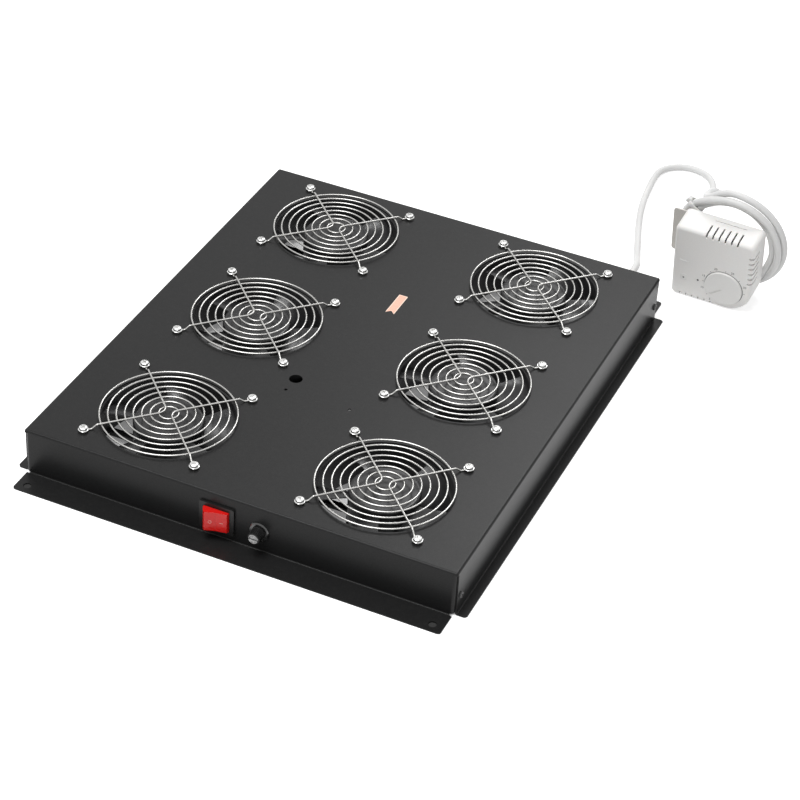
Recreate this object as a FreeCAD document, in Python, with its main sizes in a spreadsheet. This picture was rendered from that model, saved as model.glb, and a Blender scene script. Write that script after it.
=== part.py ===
"""Rack fan tray: a folded sheet-steel 1U tray with six axial fans, wire finger guards,
a rocker switch, a fuse holder, a mains inlet and a thermostat on its own cord.

Millimetres, +Z up, +Y to the back.  The origin is the middle of the four rack holes,
on the underside of the flanges, which is the surface that the tray stands on.
"""
import FreeCAD
import Part

import math
import os
from types import SimpleNamespace

import Sketcher

Vector = FreeCAD.Vector
Rotation = FreeCAD.Rotation
Placement = FreeCAD.Placement

X_AXIS = Vector(1, 0, 0)
Y_AXIS = Vector(0, 1, 0)
Z_AXIS = Vector(0, 0, 1)

# Driving dimensions in millimetres and degrees, by sheet alias.
DRIVING = {
    # Folded sheet
    "sheet_thickness": 1.2,
    "bend_radius": 1.0,
    "tray_width": 397.0,
    "tray_depth": 476.4,
    "tray_height": 45.0,
    "lid_skirt": 2.6,
    "corner_bend_radius": 2.2,
    "corner_return": 16.0,
    "seam_clearance": 0.15,
    "side_wall_setback": 3.0,
    "end_flange": 24.8,
    "end_flange_inset": 2.1,
    "side_flange": 9.0,
    "flange_corner_radius": 3.0,
    "side_flange_corner": 2.0,
    "rack_hole": 7.0,
    "rack_hole_pitch_x": 373.0,
    "rack_hole_pitch_y": 510.0,
    "cable_hole": 12.0,
    "cable_hole_x": -29.7,
    "cable_hole_y": -65.6,
    "plate_hole": 3.0,
    "plate_hole_pitch": 60.8,
    "plate_hole_y": -83.6,
    "corner_screw_inset": 9.2,
    "corner_screw_height": 17.3,
    "corner_screw_shank": 3.0,
    "corner_screw_head": 6.0,
    "corner_screw_head_height": 1.8,
    "corner_screw_length": 6.0,
    # Fans
    "fan_columns": 2,
    "fan_rows": 3,
    "fan_pitch_x": 202.0,
    "fan_pitch_y": 164.0,
    "fan_size": 119.5,
    "fan_depth": 38.0,
    "fan_corner_radius": 6.0,
    "fan_flange": 3.6,
    "fan_barrel": 119.3,
    "fan_bore": 115.5,
    "fan_bore_chamfer": 1.2,
    "fan_hole_pitch": 105.0,
    "fan_hole": 4.5,
    "aperture": 118.0,
    "strut_width": 6.5,
    "strut_height": 4.0,
    "strut_count": 4,
    "motor_plate": 62.0,
    "motor_plate_thickness": 3.0,
    "bearing_tube": 16.0,
    "bearing_tube_height": 26.0,
    "bearing_outside": 10.0,
    "bearing_floor": 1.5,
    "bearing_length": 20.0,
    "shaft": 3.0,
    "shaft_clearance": 0.02,
    "shaft_end_gap": 0.5,
    "stator_outside": 48.6,
    "stator_height": 10.0,
    "stator_bottom": 10.0,
    "pole_gap": 5.0,
    "pole_count": 4,
    "winding_inside": 23.0,
    "winding_outside": 38.0,
    "winding_height": 17.0,
    # Impeller
    "hub": 61.0,
    "hub_wall": 5.0,
    "hub_bottom": 6.5,
    "hub_top_gap": 2.0,
    "hub_roof": 3.0,
    "hub_edge_radius": 2.5,
    "hub_boss": 10.0,
    "hub_boss_gap": 1.5,
    "shaft_cover": 1.0,
    "blade_count": 5,
    "impeller_rest_step": 23.0,
    "blade_tip_gap": 1.1,
    "blade_middle": 20.0,
    "root_radius": 22.0,
    "root_chord": 27.0,
    "root_pitch": 42.0,
    "mid_radius": 42.0,
    "mid_chord": 42.0,
    "mid_pitch": 32.0,
    "mid_sweep": 3.0,
    "tip_chord": 54.0,
    "tip_pitch": 24.0,
    "tip_sweep": 9.0,
    "tip_overrun": 2.0,
    "blade_camber": 0.11,
    "root_thickness": 2.4,
    "tip_thickness": 1.6,
    # Finger guards and their screws
    "guard_wire": 1.6,
    "guard_ring_count": 8,
    "guard_first_ring": 8.5,
    "guard_ring_pitch": 7.15,
    "guard_ring_lift": 3.0,
    "guard_weld": 0.3,
    "guard_step_start": 62.5,
    "guard_step_end": 67.0,
    "guard_step_bend": 2.0,
    "guard_apex_bend": 8.0,
    "guard_apex_offset": 1.0,
    "eyelet_radius": 3.1,
    "screw_thread": 4.0,
    "screw_length": 14.0,
    "screw_head": 7.6,
    "screw_head_height": 2.6,
    "washer": 9.0,
    "washer_thickness": 0.8,
    "nut_across_flats": 7.0,
    "nut_height": 3.2,
    # Rocker switch
    "switch_x": -15.3,
    "switch_z": 21.3,
    "switch_bezel_width": 32.0,
    "switch_bezel_height": 27.0,
    "switch_bezel_thickness": 2.2,
    "switch_bezel_corner": 1.5,
    "switch_body_width": 28.2,
    "switch_body_height": 23.4,
    "switch_body_depth": 18.0,
    "switch_panel_clearance": 0.2,
    "rocker_opening_width": 24.2,
    "rocker_opening_height": 19.8,
    "rocker_cavity_depth": 10.5,
    "rocker_radius": 11.75,
    "rocker_corner_angle": 35.5,
    "rocker_half_travel": 15.5,
    "rocker_valley": 0.9,
    "rocker_pivot_depth": 1.4,
    "rocker_underside": 3.5,
    "rocker_side_clearance": 0.25,
    "rocker_pin": 1.8,
    "rocker_pin_length": 1.0,
    "rocker_pin_clearance": 0.05,
    "tag_width": 6.3,
    "tag_thickness": 0.8,
    "tag_length": 9.0,
    "switch_tag_pitch_x": 14.0,
    "switch_tag_pitch_z": 12.0,
    # Fuse holder
    "fuse_x": 23.2,
    "fuse_z": 20.8,
    "fuse_flange": 18.5,
    "fuse_flange_thickness": 2.0,
    "fuse_barrel": 13.4,
    "fuse_barrel_length": 32.0,
    "fuse_bore": 11.6,
    "fuse_cap_grip": 12.4,
    "fuse_cap_end": 10.8,
    "fuse_cap_reach": 10.5,
    "fuse_cap_plug": 11.5,
    "fuse_cap_plug_length": 9.0,
    "fuse_cap_gap": 0.2,
    "fuse_cap_slot": 1.6,
    "fuse_cap_slot_depth": 1.6,
    "fuse_length": 20.0,
    "fuse_diameter": 5.2,
    "fuse_nut_flats": 17.0,
    "fuse_nut_height": 3.0,
    # Mains inlet
    "inlet_z": 21.3,
    "inlet_flange_width": 50.0,
    "inlet_flange_height": 23.0,
    "inlet_flange_thickness": 2.5,
    "inlet_flange_corner": 4.0,
    "inlet_body_width": 27.4,
    "inlet_body_height": 19.6,
    "inlet_body_depth": 22.0,
    "inlet_body_corner": 4.0,
    "inlet_panel_clearance": 0.2,
    "inlet_socket_width": 24.2,
    "inlet_socket_height": 16.2,
    "inlet_socket_depth": 17.0,
    "inlet_socket_corner": 3.5,
    "inlet_pin_pitch": 14.0,
    "inlet_pin_rise": 4.0,
    "inlet_pin_width": 2.0,
    "inlet_pin_height": 4.0,
    "inlet_pin_reach": 14.0,
    "inlet_screw_pitch": 40.0,
    "inlet_screw": 3.0,
    "inlet_screw_head": 5.6,
    "inlet_screw_head_height": 2.0,
    "inlet_screw_length": 8.0,
    # Cord bushing in the back wall
    "bushing_x": 162.0,
    "bushing_z": 22.0,
    "bushing_head": 16.0,
    "bushing_head_length": 4.0,
    "bushing_thread": 11.6,
    "bushing_thread_length": 9.0,
    "bushing_tip": 9.4,
    "bushing_length": 24.0,
    "bushing_nut_flats": 15.0,
    "bushing_nut_height": 3.5,
    "cord": 6.8,
    # Terminal block under the plate
    "block_x": 0.0,
    "block_y": 22.0,
    "block_length": 56.0,
    "block_width": 17.0,
    "block_height": 14.0,
    "block_ways": 6,
    "block_rib": 1.2,
    # Thermostat
    "thermostat_x": 196.6,
    "thermostat_y": 285.7,
    "thermostat_turn": -2.4,
    "thermostat_lean": 8.5,
    "thermostat_width": 79.0,
    "thermostat_height": 83.0,
    "thermostat_depth": 27.0,
    "thermostat_wall": 2.0,
    "thermostat_corner": 5.0,
    "thermostat_low_corner": 25.0,
    "thermostat_edge_radius": 3.6,
    "thermostat_base": 2.0,
    "vent_width": 1.6,
    "vent_pitch": 6.2,
    "vent_count": 6,
    "vent_wrap": 4.5,
    "vent_depth": 15.0,
    "top_vent_x": 31.0,
    "side_vent_z": 38.0,
    "low_vent_x": 9.5,
    "parting_slot": 1.0,
    "parting_slot_y": 22.0,
    "dial_x": 52.3,
    "dial_z": 25.0,
    "dial": 37.4,
    "dial_gap": 0.5,
    "dial_recess": 1.0,
    "dial_seat_gap": 0.2,
    "dial_proud": 2.2,
    "dial_edge_radius": 0.8,
    "pointer_start": 2.0,
    "pointer_end": 16.0,
    "pointer_width": 2.0,
    "pointer_corner": 0.9,
    "pointer_depth": 0.6,
    "pointer_angle": 217.0,
    "spindle": 6.0,
    "spindle_clearance": 0.05,
    "spindle_length": 16.0,
    "dial_switch_width": 26.0,
    "dial_switch_height": 26.0,
    "dial_switch_depth": 14.0,
    "bracket_left": 13.0,
    "bracket_width": 60.0,
    "bracket_bottom": 28.0,
    "bracket_height": 50.0,
    "bracket_thickness": 1.5,
    "bracket_corner": 3.0,
    "bracket_screw_pitch": 24.0,
    "bracket_screw": 3.0,
    "bracket_screw_head": 5.6,
    "bracket_screw_head_height": 1.8,
    "grommet": 10.0,
    "grommet_angle": -58.0,
    # Cord coil behind the thermostat
    "coil_outside": 111.0,
    "coil_inside": 77.0,
    "coil_thickness": 13.5,
    "coil_gap": 4.5,
    "coil_x": 42.0,
    "coil_floor_gap": 0.1,
    "tie_angle": 143.0,
    "tie_width": 4.0,
    "tie_band": 1.2,
    "tie_gap": 0.15,
    "tie_head": 5.5,
    "cord_join_angle": 133.0,
    "cord_last_run": 24.0,
    "cord_floor_gap": 0.1,
}


class Size:
    """A number together with the sheet expression that gives it."""

    def __init__(self, value, text):
        self.value = float(value)
        self.text = text

    def __float__(self):
        return self.value

    def __add__(self, other):
        other = as_size(other)
        return Size(self.value + other.value, f"({self.text} + {other.text})")

    def __radd__(self, other):
        return as_size(other) + self

    def __sub__(self, other):
        other = as_size(other)
        return Size(self.value - other.value, f"({self.text} - {other.text})")

    def __rsub__(self, other):
        return as_size(other) - self

    def __mul__(self, other):
        other = as_size(other)
        return Size(self.value * other.value, f"({self.text} * {other.text})")

    def __rmul__(self, other):
        return as_size(other) * self

    def __truediv__(self, other):
        other = as_size(other)
        return Size(self.value / other.value, f"({self.text} / {other.text})")

    def __neg__(self):
        return Size(-self.value, f"(0 - {self.text})")


def as_size(value):
    """Give a plain number the interface of a Size."""
    if isinstance(value, Size):
        return value
    return Size(value, f"{float(value):.6f}")


document = FreeCAD.newDocument("rack_fan_tray")
sheet = document.addObject("Spreadsheet::Sheet", "Sizes")
for row, (alias, number) in enumerate(DRIVING.items(), start=1):
    sheet.set(f"A{row}", alias)
    sheet.set(f"B{row}", str(number))
    sheet.setAlias(f"B{row}", alias)
document.recompute()

D = SimpleNamespace(**{alias: Size(number, f"Sizes.{alias}") for alias, number in DRIVING.items()})

NODES = []


def bind(target, name, size):
    """Give a property its number and tie it to the sheet."""
    size = as_size(size)
    target.setExpression(name, size.text)


def place(target, x=0.0, y=0.0, z=0.0, rotation=None):
    """Set a placement whose position follows the sheet."""
    x, y, z = as_size(x), as_size(y), as_size(z)
    turn = Rotation() if rotation is None else rotation
    target.Placement = Placement(Vector(x.value, y.value, z.value), turn)
    for axis, size in (("x", x), ("y", y), ("z", z)):
        if "Sizes." in size.text:
            target.setExpression(f"Placement.Base.{axis}", size.text)


def node(target, label):
    """Register a finished sub-part under the name of its file."""
    target.Label = label
    NODES.append(target)
    return target


def new_body(name):
    """Start a PartDesign body."""
    return document.addObject("PartDesign::Body", name)


def sketch_on(body, role, name, offset=0.0, shift=(0.0, 0.0), turn=0.0):
    """Start a sketch on one of the body's origin planes, moved along its normal."""
    sketch = body.newObject("Sketcher::SketchObject", name)
    plane = next(item for item in body.Origin.OriginFeatures if item.Role == role)
    sketch.AttachmentSupport = [(plane, "")]
    sketch.MapMode = "FlatFace"
    sizes = [as_size(shift[0]), as_size(shift[1]), as_size(offset)]
    base = Vector(*[size.value for size in sizes])
    sketch.AttachmentOffset = Placement(base, Rotation(Z_AXIS, float(turn)))
    for axis, size in zip("xyz", sizes):
        if "Sizes." in size.text:
            sketch.setExpression(f"AttachmentOffset.Base.{axis}", size.text)
    return sketch


def lock_point(sketch, element, end, x, y):
    """Fix one end point of a sketch element at its distances from the origin."""
    for kind, axis, size in (("DistanceX", -2, as_size(x)), ("DistanceY", -1, as_size(y))):
        if abs(size.value) < 1e-9:
            sketch.addConstraint(Sketcher.Constraint("PointOnObject", element, end, axis))
            continue
        constraint = Sketcher.Constraint(kind, -1, 1, element, end, size.value)
        index = sketch.addConstraint(constraint)
        if "Sizes." in size.text:
            sketch.setExpression(f"Constraints[{index}]", size.text)


def circle(sketch, x, y, diameter):
    """Add a circle with its centre and diameter tied to the sheet."""
    x, y, diameter = as_size(x), as_size(y), as_size(diameter)
    shape = Part.Circle(Vector(x.value, y.value, 0), Z_AXIS, diameter.value / 2)
    element = sketch.addGeometry(shape, False)
    lock_point(sketch, element, 3, x, y)
    index = sketch.addConstraint(Sketcher.Constraint("Diameter", element, diameter.value))
    if "Sizes." in diameter.text:
        sketch.setExpression(f"Constraints[{index}]", diameter.text)


def arc_through(start, end, radius, side):
    """Give the arc of a radius from start to end that bulges to the left (1) or right (-1)."""
    chord = end - start
    half = chord.Length / 2
    reach = math.sqrt(max(radius * radius - half * half, 0.0))
    normal = Vector(-chord.y, chord.x, 0)
    normal.normalize()
    centre = start + chord * 0.5 - normal * (side * reach)
    middle = centre + normal * (side * radius)
    if side > 0:
        start, end = end, start
    return Part.Arc(start, middle, end)


def outline(sketch, start, *steps):
    """Draw a closed outline from lines (x, y) and arcs (x, y, radius, side)."""
    points = [start] + [step[:2] for step in steps]
    first = len(sketch.Geometry)
    count = len(steps)
    for number, step in enumerate(steps):
        here = Vector(float(points[number][0]), float(points[number][1]), 0)
        there = Vector(float(step[0]), float(step[1]), 0)
        if len(step) == 2:
            sketch.addGeometry(Part.LineSegment(here, there), False)
        else:
            sketch.addGeometry(arc_through(here, there, float(step[2]), step[3]), False)
    ends = []
    for number in range(count):
        here = Vector(float(points[number][0]), float(points[number][1]), 0)
        element = sketch.Geometry[first + number]
        forward = element.StartPoint.distanceToPoint(here) < 1e-6
        ends.append((1, 2) if forward else (2, 1))
    for number, step in enumerate(steps):
        following = (number + 1) % count
        sketch.addConstraint(Sketcher.Constraint(
            "Coincident", first + number, ends[number][1], first + following, ends[following][0]))
        lock_point(sketch, first + number, ends[number][1], step[0], step[1])
        if len(step) == 4:
            radius = as_size(step[2])
            index = sketch.addConstraint(Sketcher.Constraint("Radius", first + number, radius.value))
            if "Sizes." in radius.text:
                sketch.setExpression(f"Constraints[{index}]", radius.text)


def rectangle(sketch, left, low, right, high):
    """Draw a rectangle."""
    outline(sketch, (left, low), (right, low), (right, high), (left, high), (left, low))


def rounded(sketch, left, low, right, high, corners):
    """Draw a rectangle with rounded corners, from the lower left one anticlockwise."""
    if not isinstance(corners, (tuple, list)):
        corners = (corners,) * 4
    low_left, low_right, high_right, high_left = corners
    outline(
        sketch,
        (left + low_left, low),
        (right - low_right, low),
        (right, low + low_right, low_right, -1),
        (right, high - high_right),
        (right - high_right, high, high_right, -1),
        (left + high_left, high),
        (left, high - high_left, high_left, -1),
        (left, low + low_left),
        (left + low_left, low, low_left, -1),
    )


def pad(body, sketch, length, name, back=False):
    """Extrude a sketch along its normal, or against it."""
    feature = body.newObject("PartDesign::Pad", name)
    feature.Profile = sketch
    feature.Reversed = back
    bind(feature, "Length", length)
    body.Tip = feature
    return feature


def pocket(body, sketch, length, name, forward=False):
    """Cut a sketch against its normal, or along it."""
    feature = body.newObject("PartDesign::Pocket", name)
    feature.Profile = sketch
    feature.Reversed = forward
    bind(feature, "Length", length)
    body.Tip = feature
    return feature


def revolve(body, sketch, name, kind="PartDesign::Revolution"):
    """Turn a sketch once round its vertical axis."""
    feature = body.newObject(kind, name)
    feature.Profile = sketch
    feature.ReferenceAxis = (sketch, ["V_Axis"])
    feature.Angle = 360.0
    body.Tip = feature
    return feature


def round_edges(body, base, test, radius, name, kind="PartDesign::Fillet"):
    """Fillet or chamfer the edges of a feature whose shape passes a test."""
    document.recompute()
    names = [f"Edge{number}" for number, edge in enumerate(base.Shape.Edges, start=1) if test(edge)]
    feature = body.newObject(kind, name)
    feature.Base = (base, names)
    bind(feature, "Radius" if kind.endswith("Fillet") else "Size", radius)
    body.Tip = feature
    return feature


def origin_axis(body, role):
    """Find an origin axis or plane of a body."""
    return next(item for item in body.Origin.OriginFeatures if item.Role == role)


def polar(body, feature, count, name):
    """Repeat a feature round the body's Z axis."""
    pattern = body.newObject("PartDesign::PolarPattern", name)
    pattern.Originals = [feature]
    pattern.Axis = (origin_axis(body, "Z_Axis"), [""])
    pattern.Angle = 360.0
    bind(pattern, "Occurrences", count)
    body.Tip = pattern
    return pattern


def repeat(body, features, steps, name):
    """Repeat features along the origin axes: steps of (axis role, spacing, count)."""
    transform = body.newObject("PartDesign::MultiTransform", name)
    transform.Originals = features
    patterns = []
    for number, (role, spacing, count) in enumerate(steps, start=1):
        pattern = document.addObject("PartDesign::LinearPattern", f"{name}_{number}")
        body.addObject(pattern)
        pattern.Direction = (origin_axis(body, role), [""])
        count = as_size(count)
        bind(pattern, "Length", as_size(spacing) * (count - 1))
        bind(pattern, "Occurrences", count)
        patterns.append(pattern)
    transform.Transformations = patterns
    body.Tip = transform
    return transform


def mirror_copies(body, features, planes, name):
    """Mirror features in the origin planes named."""
    transform = body.newObject("PartDesign::MultiTransform", name)
    transform.Originals = features
    patterns = []
    for number, role in enumerate(planes, start=1):
        pattern = document.addObject("PartDesign::Mirrored", f"{name}_{number}")
        body.addObject(pattern)
        pattern.MirrorPlane = (origin_axis(body, role), [""])
        patterns.append(pattern)
    transform.Transformations = patterns
    body.Tip = transform
    return transform


def hexagon(sketch, x, y, across_flats):
    """Draw a hexagon with two flats level."""
    x, y, flats = as_size(x), as_size(y), as_size(across_flats)
    corner = flats / math.sqrt(3.0)
    half = flats / 2
    outline(
        sketch,
        (x + corner, y),
        (x + corner / 2, y + half),
        (x - corner / 2, y + half),
        (x - corner, y),
        (x - corner / 2, y - half),
        (x + corner / 2, y - half),
        (x + corner, y),
    )


def rounded_path(points, radii):
    """Join straight runs by tangent arcs into one wire."""
    edges = []
    start = points[0]
    for number, radius in enumerate(radii, start=1):
        corner = points[number]
        before = (points[number - 1] - corner).normalize()
        after = (points[number + 1] - corner).normalize()
        half_turn = (math.pi - before.getAngle(after)) / 2
        cut = radius * math.tan(half_turn)
        bisector = (before + after).normalize()
        first = corner + before * cut
        last = corner + after * cut
        middle = corner + bisector * (radius / math.cos(half_turn) - radius)
        if start.distanceToPoint(first) > 1e-6:
            edges.append(Part.LineSegment(start, first).toShape())
        edges.append(Part.Arc(first, middle, last).toShape())
        start = last
    edges.append(Part.LineSegment(start, points[-1]).toShape())
    return Part.Wire(edges)


def swept_tube(points, radii, diameter, name):
    """Sweep a round section along a path of straight runs and arcs."""
    diameter = as_size(diameter)
    path = document.addObject("Part::Feature", f"{name}_path")
    path.Shape = rounded_path(points, radii)
    section = document.addObject("Part::Circle", f"{name}_section")
    bind(section, "Radius", diameter / 2)
    heading = points[1] - points[0]
    section.Placement = Placement(points[0], Rotation(Z_AXIS, heading))
    sweep = document.addObject("Part::Sweep", name)
    sweep.Sections = [section]
    sweep.Spine = (path, [f"Edge{number}" for number in range(1, len(path.Shape.Edges) + 1)])
    sweep.Solid = True
    sweep.Frenet = False
    return sweep


def instance(master, label, x, y, z, turn=0.0):
    """Put one copy of a master shape at a place of its own."""
    copy = document.addObject("Part::Compound", label)
    copy.Links = [master]
    place(copy, x, y, z, Rotation(Z_AXIS, turn))
    return node(copy, label)


HALF_WIDTH = D.tray_width / 2
HALF_DEPTH = D.tray_depth / 2
PLATE_UNDERSIDE = D.tray_height - D.sheet_thickness
FAN_BOTTOM = PLATE_UNDERSIDE - D.fan_depth


def fan_centres():
    """List the number and the centre of each fan, row by row from the front left."""
    columns = int(DRIVING["fan_columns"])
    rows = int(DRIVING["fan_rows"])
    centres = []
    for line in range(rows):
        for column in range(columns):
            x = D.fan_pitch_x * (column - (columns - 1) / 2)
            y = D.fan_pitch_y * (line - (rows - 1) / 2)
            centres.append((len(centres) + 1, x, y))
    return centres


def end_wall_outline(sketch, side):
    """Draw the section of an end wall with its two bent returns; side is -1 at the front."""
    outer = HALF_WIDTH - D.sheet_thickness - D.seam_clearance
    inner = outer - D.sheet_thickness
    bend = D.corner_bend_radius + D.sheet_thickness
    face = HALF_DEPTH * side
    inside = (HALF_DEPTH - D.sheet_thickness) * side
    turn = (HALF_DEPTH - bend) * side
    tip = (HALF_DEPTH - D.corner_return) * side
    outline(
        sketch,
        (-outer, tip),
        (-outer, turn),
        (-outer + bend, face, bend, side),
        (outer - bend, face),
        (outer, turn, bend, side),
        (outer, tip),
        (inner, tip),
        (inner, turn),
        (outer - bend, inside, D.corner_bend_radius, -side),
        (-outer + bend, inside),
        (-inner, turn, D.corner_bend_radius, -side),
        (-inner, tip),
        (-outer, tip),
    )


def bend_outline(sketch, wall, side):
    """Draw the quarter bend from a wall face out to its flange."""
    thickness = D.sheet_thickness
    outside = D.bend_radius + thickness
    outline(
        sketch,
        ((wall - thickness) * side, outside),
        ((wall + D.bend_radius) * side, 0.0, outside, -side),
        ((wall + D.bend_radius) * side, thickness),
        (wall * side, outside, D.bend_radius, side),
        ((wall - thickness) * side, outside),
    )


def make_tray_shell():
    """Cut the tray's plate with its rim, the six apertures and the small holes."""
    body = new_body("tray_shell")
    thickness = D.sheet_thickness
    skirt_bottom = D.tray_height - D.lid_skirt

    lid = sketch_on(body, "XY_Plane", "lid_outline", skirt_bottom)
    rectangle(lid, -HALF_WIDTH, -HALF_DEPTH, HALF_WIDTH, HALF_DEPTH)
    plate = pad(body, lid, D.lid_skirt, "plate")
    low = float(skirt_bottom)
    round_edges(body, plate, lambda edge: edge.BoundBox.ZMax > low + 1e-3,
                D.bend_radius + thickness, "plate_bends")
    hollow = sketch_on(body, "XY_Plane", "lid_inside", skirt_bottom)
    inner_x, inner_y = HALF_WIDTH - thickness, HALF_DEPTH - thickness
    rounded(hollow, -inner_x, -inner_y, inner_x, inner_y, D.bend_radius)
    pocket(body, hollow, D.lid_skirt - thickness, "lid_hollow", forward=True)

    plate_holes = sketch_on(body, "XY_Plane", "plate_holes", D.tray_height)
    for _, x, y in fan_centres():
        circle(plate_holes, x, y, D.aperture)
        for across in (-1, 1):
            for along in (-1, 1):
                circle(plate_holes, x + D.fan_hole_pitch / 2 * across,
                       y + D.fan_hole_pitch / 2 * along, D.fan_hole)
    circle(plate_holes, D.cable_hole_x, D.cable_hole_y, D.cable_hole)
    for across in (-1, 1):
        circle(plate_holes, D.plate_hole_pitch / 2 * across, D.plate_hole_y, D.plate_hole)
    pocket(body, plate_holes, thickness, "plate_hole_cut")
    return node(body, "tray_shell")


def cut_corner_screw_holes(body):
    """Cut the holes of the corner screws through both side walls."""
    along = HALF_DEPTH - D.corner_screw_inset
    for name, offset, forward in (("right", HALF_WIDTH, False), ("left", -HALF_WIDTH, True)):
        holes = sketch_on(body, "YZ_Plane", f"{name}_screw_holes", offset)
        for side in (-1, 1):
            circle(holes, along * side, D.corner_screw_height, D.corner_screw_shank)
        pocket(body, holes, D.sheet_thickness * 2 + D.seam_clearance, f"{name}_screw_cut",
               forward=forward)


def make_end_walls():
    """Fold the front and back walls with their corner returns, flanges and cut-outs."""
    body = new_body("tray_end_walls")
    body.AllowCompound = True
    thickness = D.sheet_thickness
    wall_bottom = thickness + D.bend_radius
    end_half = HALF_WIDTH - thickness - D.seam_clearance - D.corner_bend_radius - thickness
    walls = sketch_on(body, "XY_Plane", "end_wall_section", wall_bottom)
    end_wall_outline(walls, -1)
    end_wall_outline(walls, 1)
    pad(body, walls, D.tray_height - D.lid_skirt - wall_bottom, "end_walls")

    bends = sketch_on(body, "YZ_Plane", "end_bend_section", -end_half)
    bend_outline(bends, HALF_DEPTH, -1)
    bend_outline(bends, HALF_DEPTH, 1)
    pad(body, bends, end_half * 2, "end_bends")

    flanges = sketch_on(body, "XY_Plane", "end_flange_outline")
    flange_half = HALF_WIDTH - D.end_flange_inset
    near, far = HALF_DEPTH + D.bend_radius, HALF_DEPTH + D.end_flange
    radius = D.flange_corner_radius
    outline(flanges, (-flange_half + radius, -far), (flange_half - radius, -far),
            (flange_half, -far + radius, radius, -1), (flange_half, -near), (-flange_half, -near),
            (-flange_half, -far + radius), (-flange_half + radius, -far, radius, -1))
    outline(flanges, (-flange_half, near), (flange_half, near), (flange_half, far - radius),
            (flange_half - radius, far, radius, -1), (-flange_half + radius, far),
            (-flange_half, far - radius, radius, -1), (-flange_half, near))
    pad(body, flanges, thickness, "end_flanges")
    rack_holes = sketch_on(body, "XY_Plane", "rack_holes", thickness)
    for across in (-1, 1):
        for along in (-1, 1):
            circle(rack_holes, D.rack_hole_pitch_x / 2 * across, D.rack_hole_pitch_y / 2 * along,
                   D.rack_hole)
    pocket(body, rack_holes, thickness, "rack_hole_cut")

    front = sketch_on(body, "XZ_Plane", "front_cutouts", HALF_DEPTH)
    half_x = D.switch_body_width / 2 + D.switch_panel_clearance
    half_z = D.switch_body_height / 2 + D.switch_panel_clearance
    rectangle(front, D.switch_x - half_x, D.switch_z - half_z, D.switch_x + half_x,
              D.switch_z + half_z)
    circle(front, D.fuse_x, D.fuse_z, D.fuse_barrel)
    pocket(body, front, thickness, "front_cut")

    back = sketch_on(body, "XZ_Plane", "back_cutouts", -HALF_DEPTH)
    half_x = D.inlet_body_width / 2 + D.inlet_panel_clearance
    half_z = D.inlet_body_height / 2 + D.inlet_panel_clearance
    rounded(back, -half_x, D.inlet_z - half_z, half_x, D.inlet_z + half_z, D.inlet_body_corner)
    for across in (-1, 1):
        circle(back, D.inlet_screw_pitch / 2 * across, D.inlet_z, D.inlet_screw)
    circle(back, D.bushing_x, D.bushing_z, D.bushing_thread)
    pocket(body, back, thickness, "back_cut", forward=True)
    cut_corner_screw_holes(body)
    return node(body, "tray_end_walls")


def make_side_walls():
    """Fold the side walls with their narrow flanges."""
    body = new_body("tray_side_walls")
    body.AllowCompound = True
    thickness = D.sheet_thickness
    wall_bottom = thickness + D.bend_radius
    half = HALF_DEPTH - D.side_wall_setback
    walls = sketch_on(body, "XY_Plane", "side_wall_section", wall_bottom)
    rectangle(walls, -HALF_WIDTH, -half, -(HALF_WIDTH - thickness), half)
    rectangle(walls, HALF_WIDTH - thickness, -half, HALF_WIDTH, half)
    pad(body, walls, D.tray_height - D.lid_skirt - wall_bottom, "side_walls")

    bends = sketch_on(body, "XZ_Plane", "side_bend_section", -half)
    bend_outline(bends, HALF_WIDTH, -1)
    bend_outline(bends, HALF_WIDTH, 1)
    pad(body, bends, half * 2, "side_bends")

    flanges = sketch_on(body, "XY_Plane", "side_flange_outline")
    near, far, cut = HALF_WIDTH + D.bend_radius, HALF_WIDTH + D.side_flange, D.side_flange_corner
    outline(flanges, (near, -half), (far - cut, -half), (far, -half + cut), (far, half - cut),
            (far - cut, half), (near, half), (near, -half))
    outline(flanges, (-near, half), (-far + cut, half), (-far, half - cut), (-far, -half + cut),
            (-far + cut, -half), (-near, -half), (-near, half))
    pad(body, flanges, thickness, "side_flanges")
    cut_corner_screw_holes(body)
    return node(body, "tray_side_walls")


def make_corner_screws():
    """Turn the four screws that hold the corner returns to the side walls."""
    body = new_body("corner_screws")
    body.AllowCompound = True
    head = D.corner_screw_head / 2
    shank = D.corner_screw_shank / 2
    section = sketch_on(body, "XY_Plane", "corner_screw_section",
                        D.corner_screw_height, shift=(0.0, -(HALF_DEPTH - D.corner_screw_inset)))
    face = HALF_WIDTH
    tip = HALF_WIDTH - D.corner_screw_length
    dome = D.corner_screw_head_height
    radius = (head.value ** 2 + dome.value ** 2) / (2 * dome.value)
    outline(section, (tip, 0.0), (face + dome, 0.0), (face, head, radius, -1), (face, shank),
            (tip, shank), (tip, 0.0))
    turned = body.newObject("PartDesign::Revolution", "corner_screw")
    turned.Profile = section
    turned.ReferenceAxis = (section, ["H_Axis"])
    turned.Angle = 360.0
    mirror_copies(body, [turned], ("YZ_Plane", "XZ_Plane"), "corner_screw_copies")
    return node(body, "corner_screws")


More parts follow.
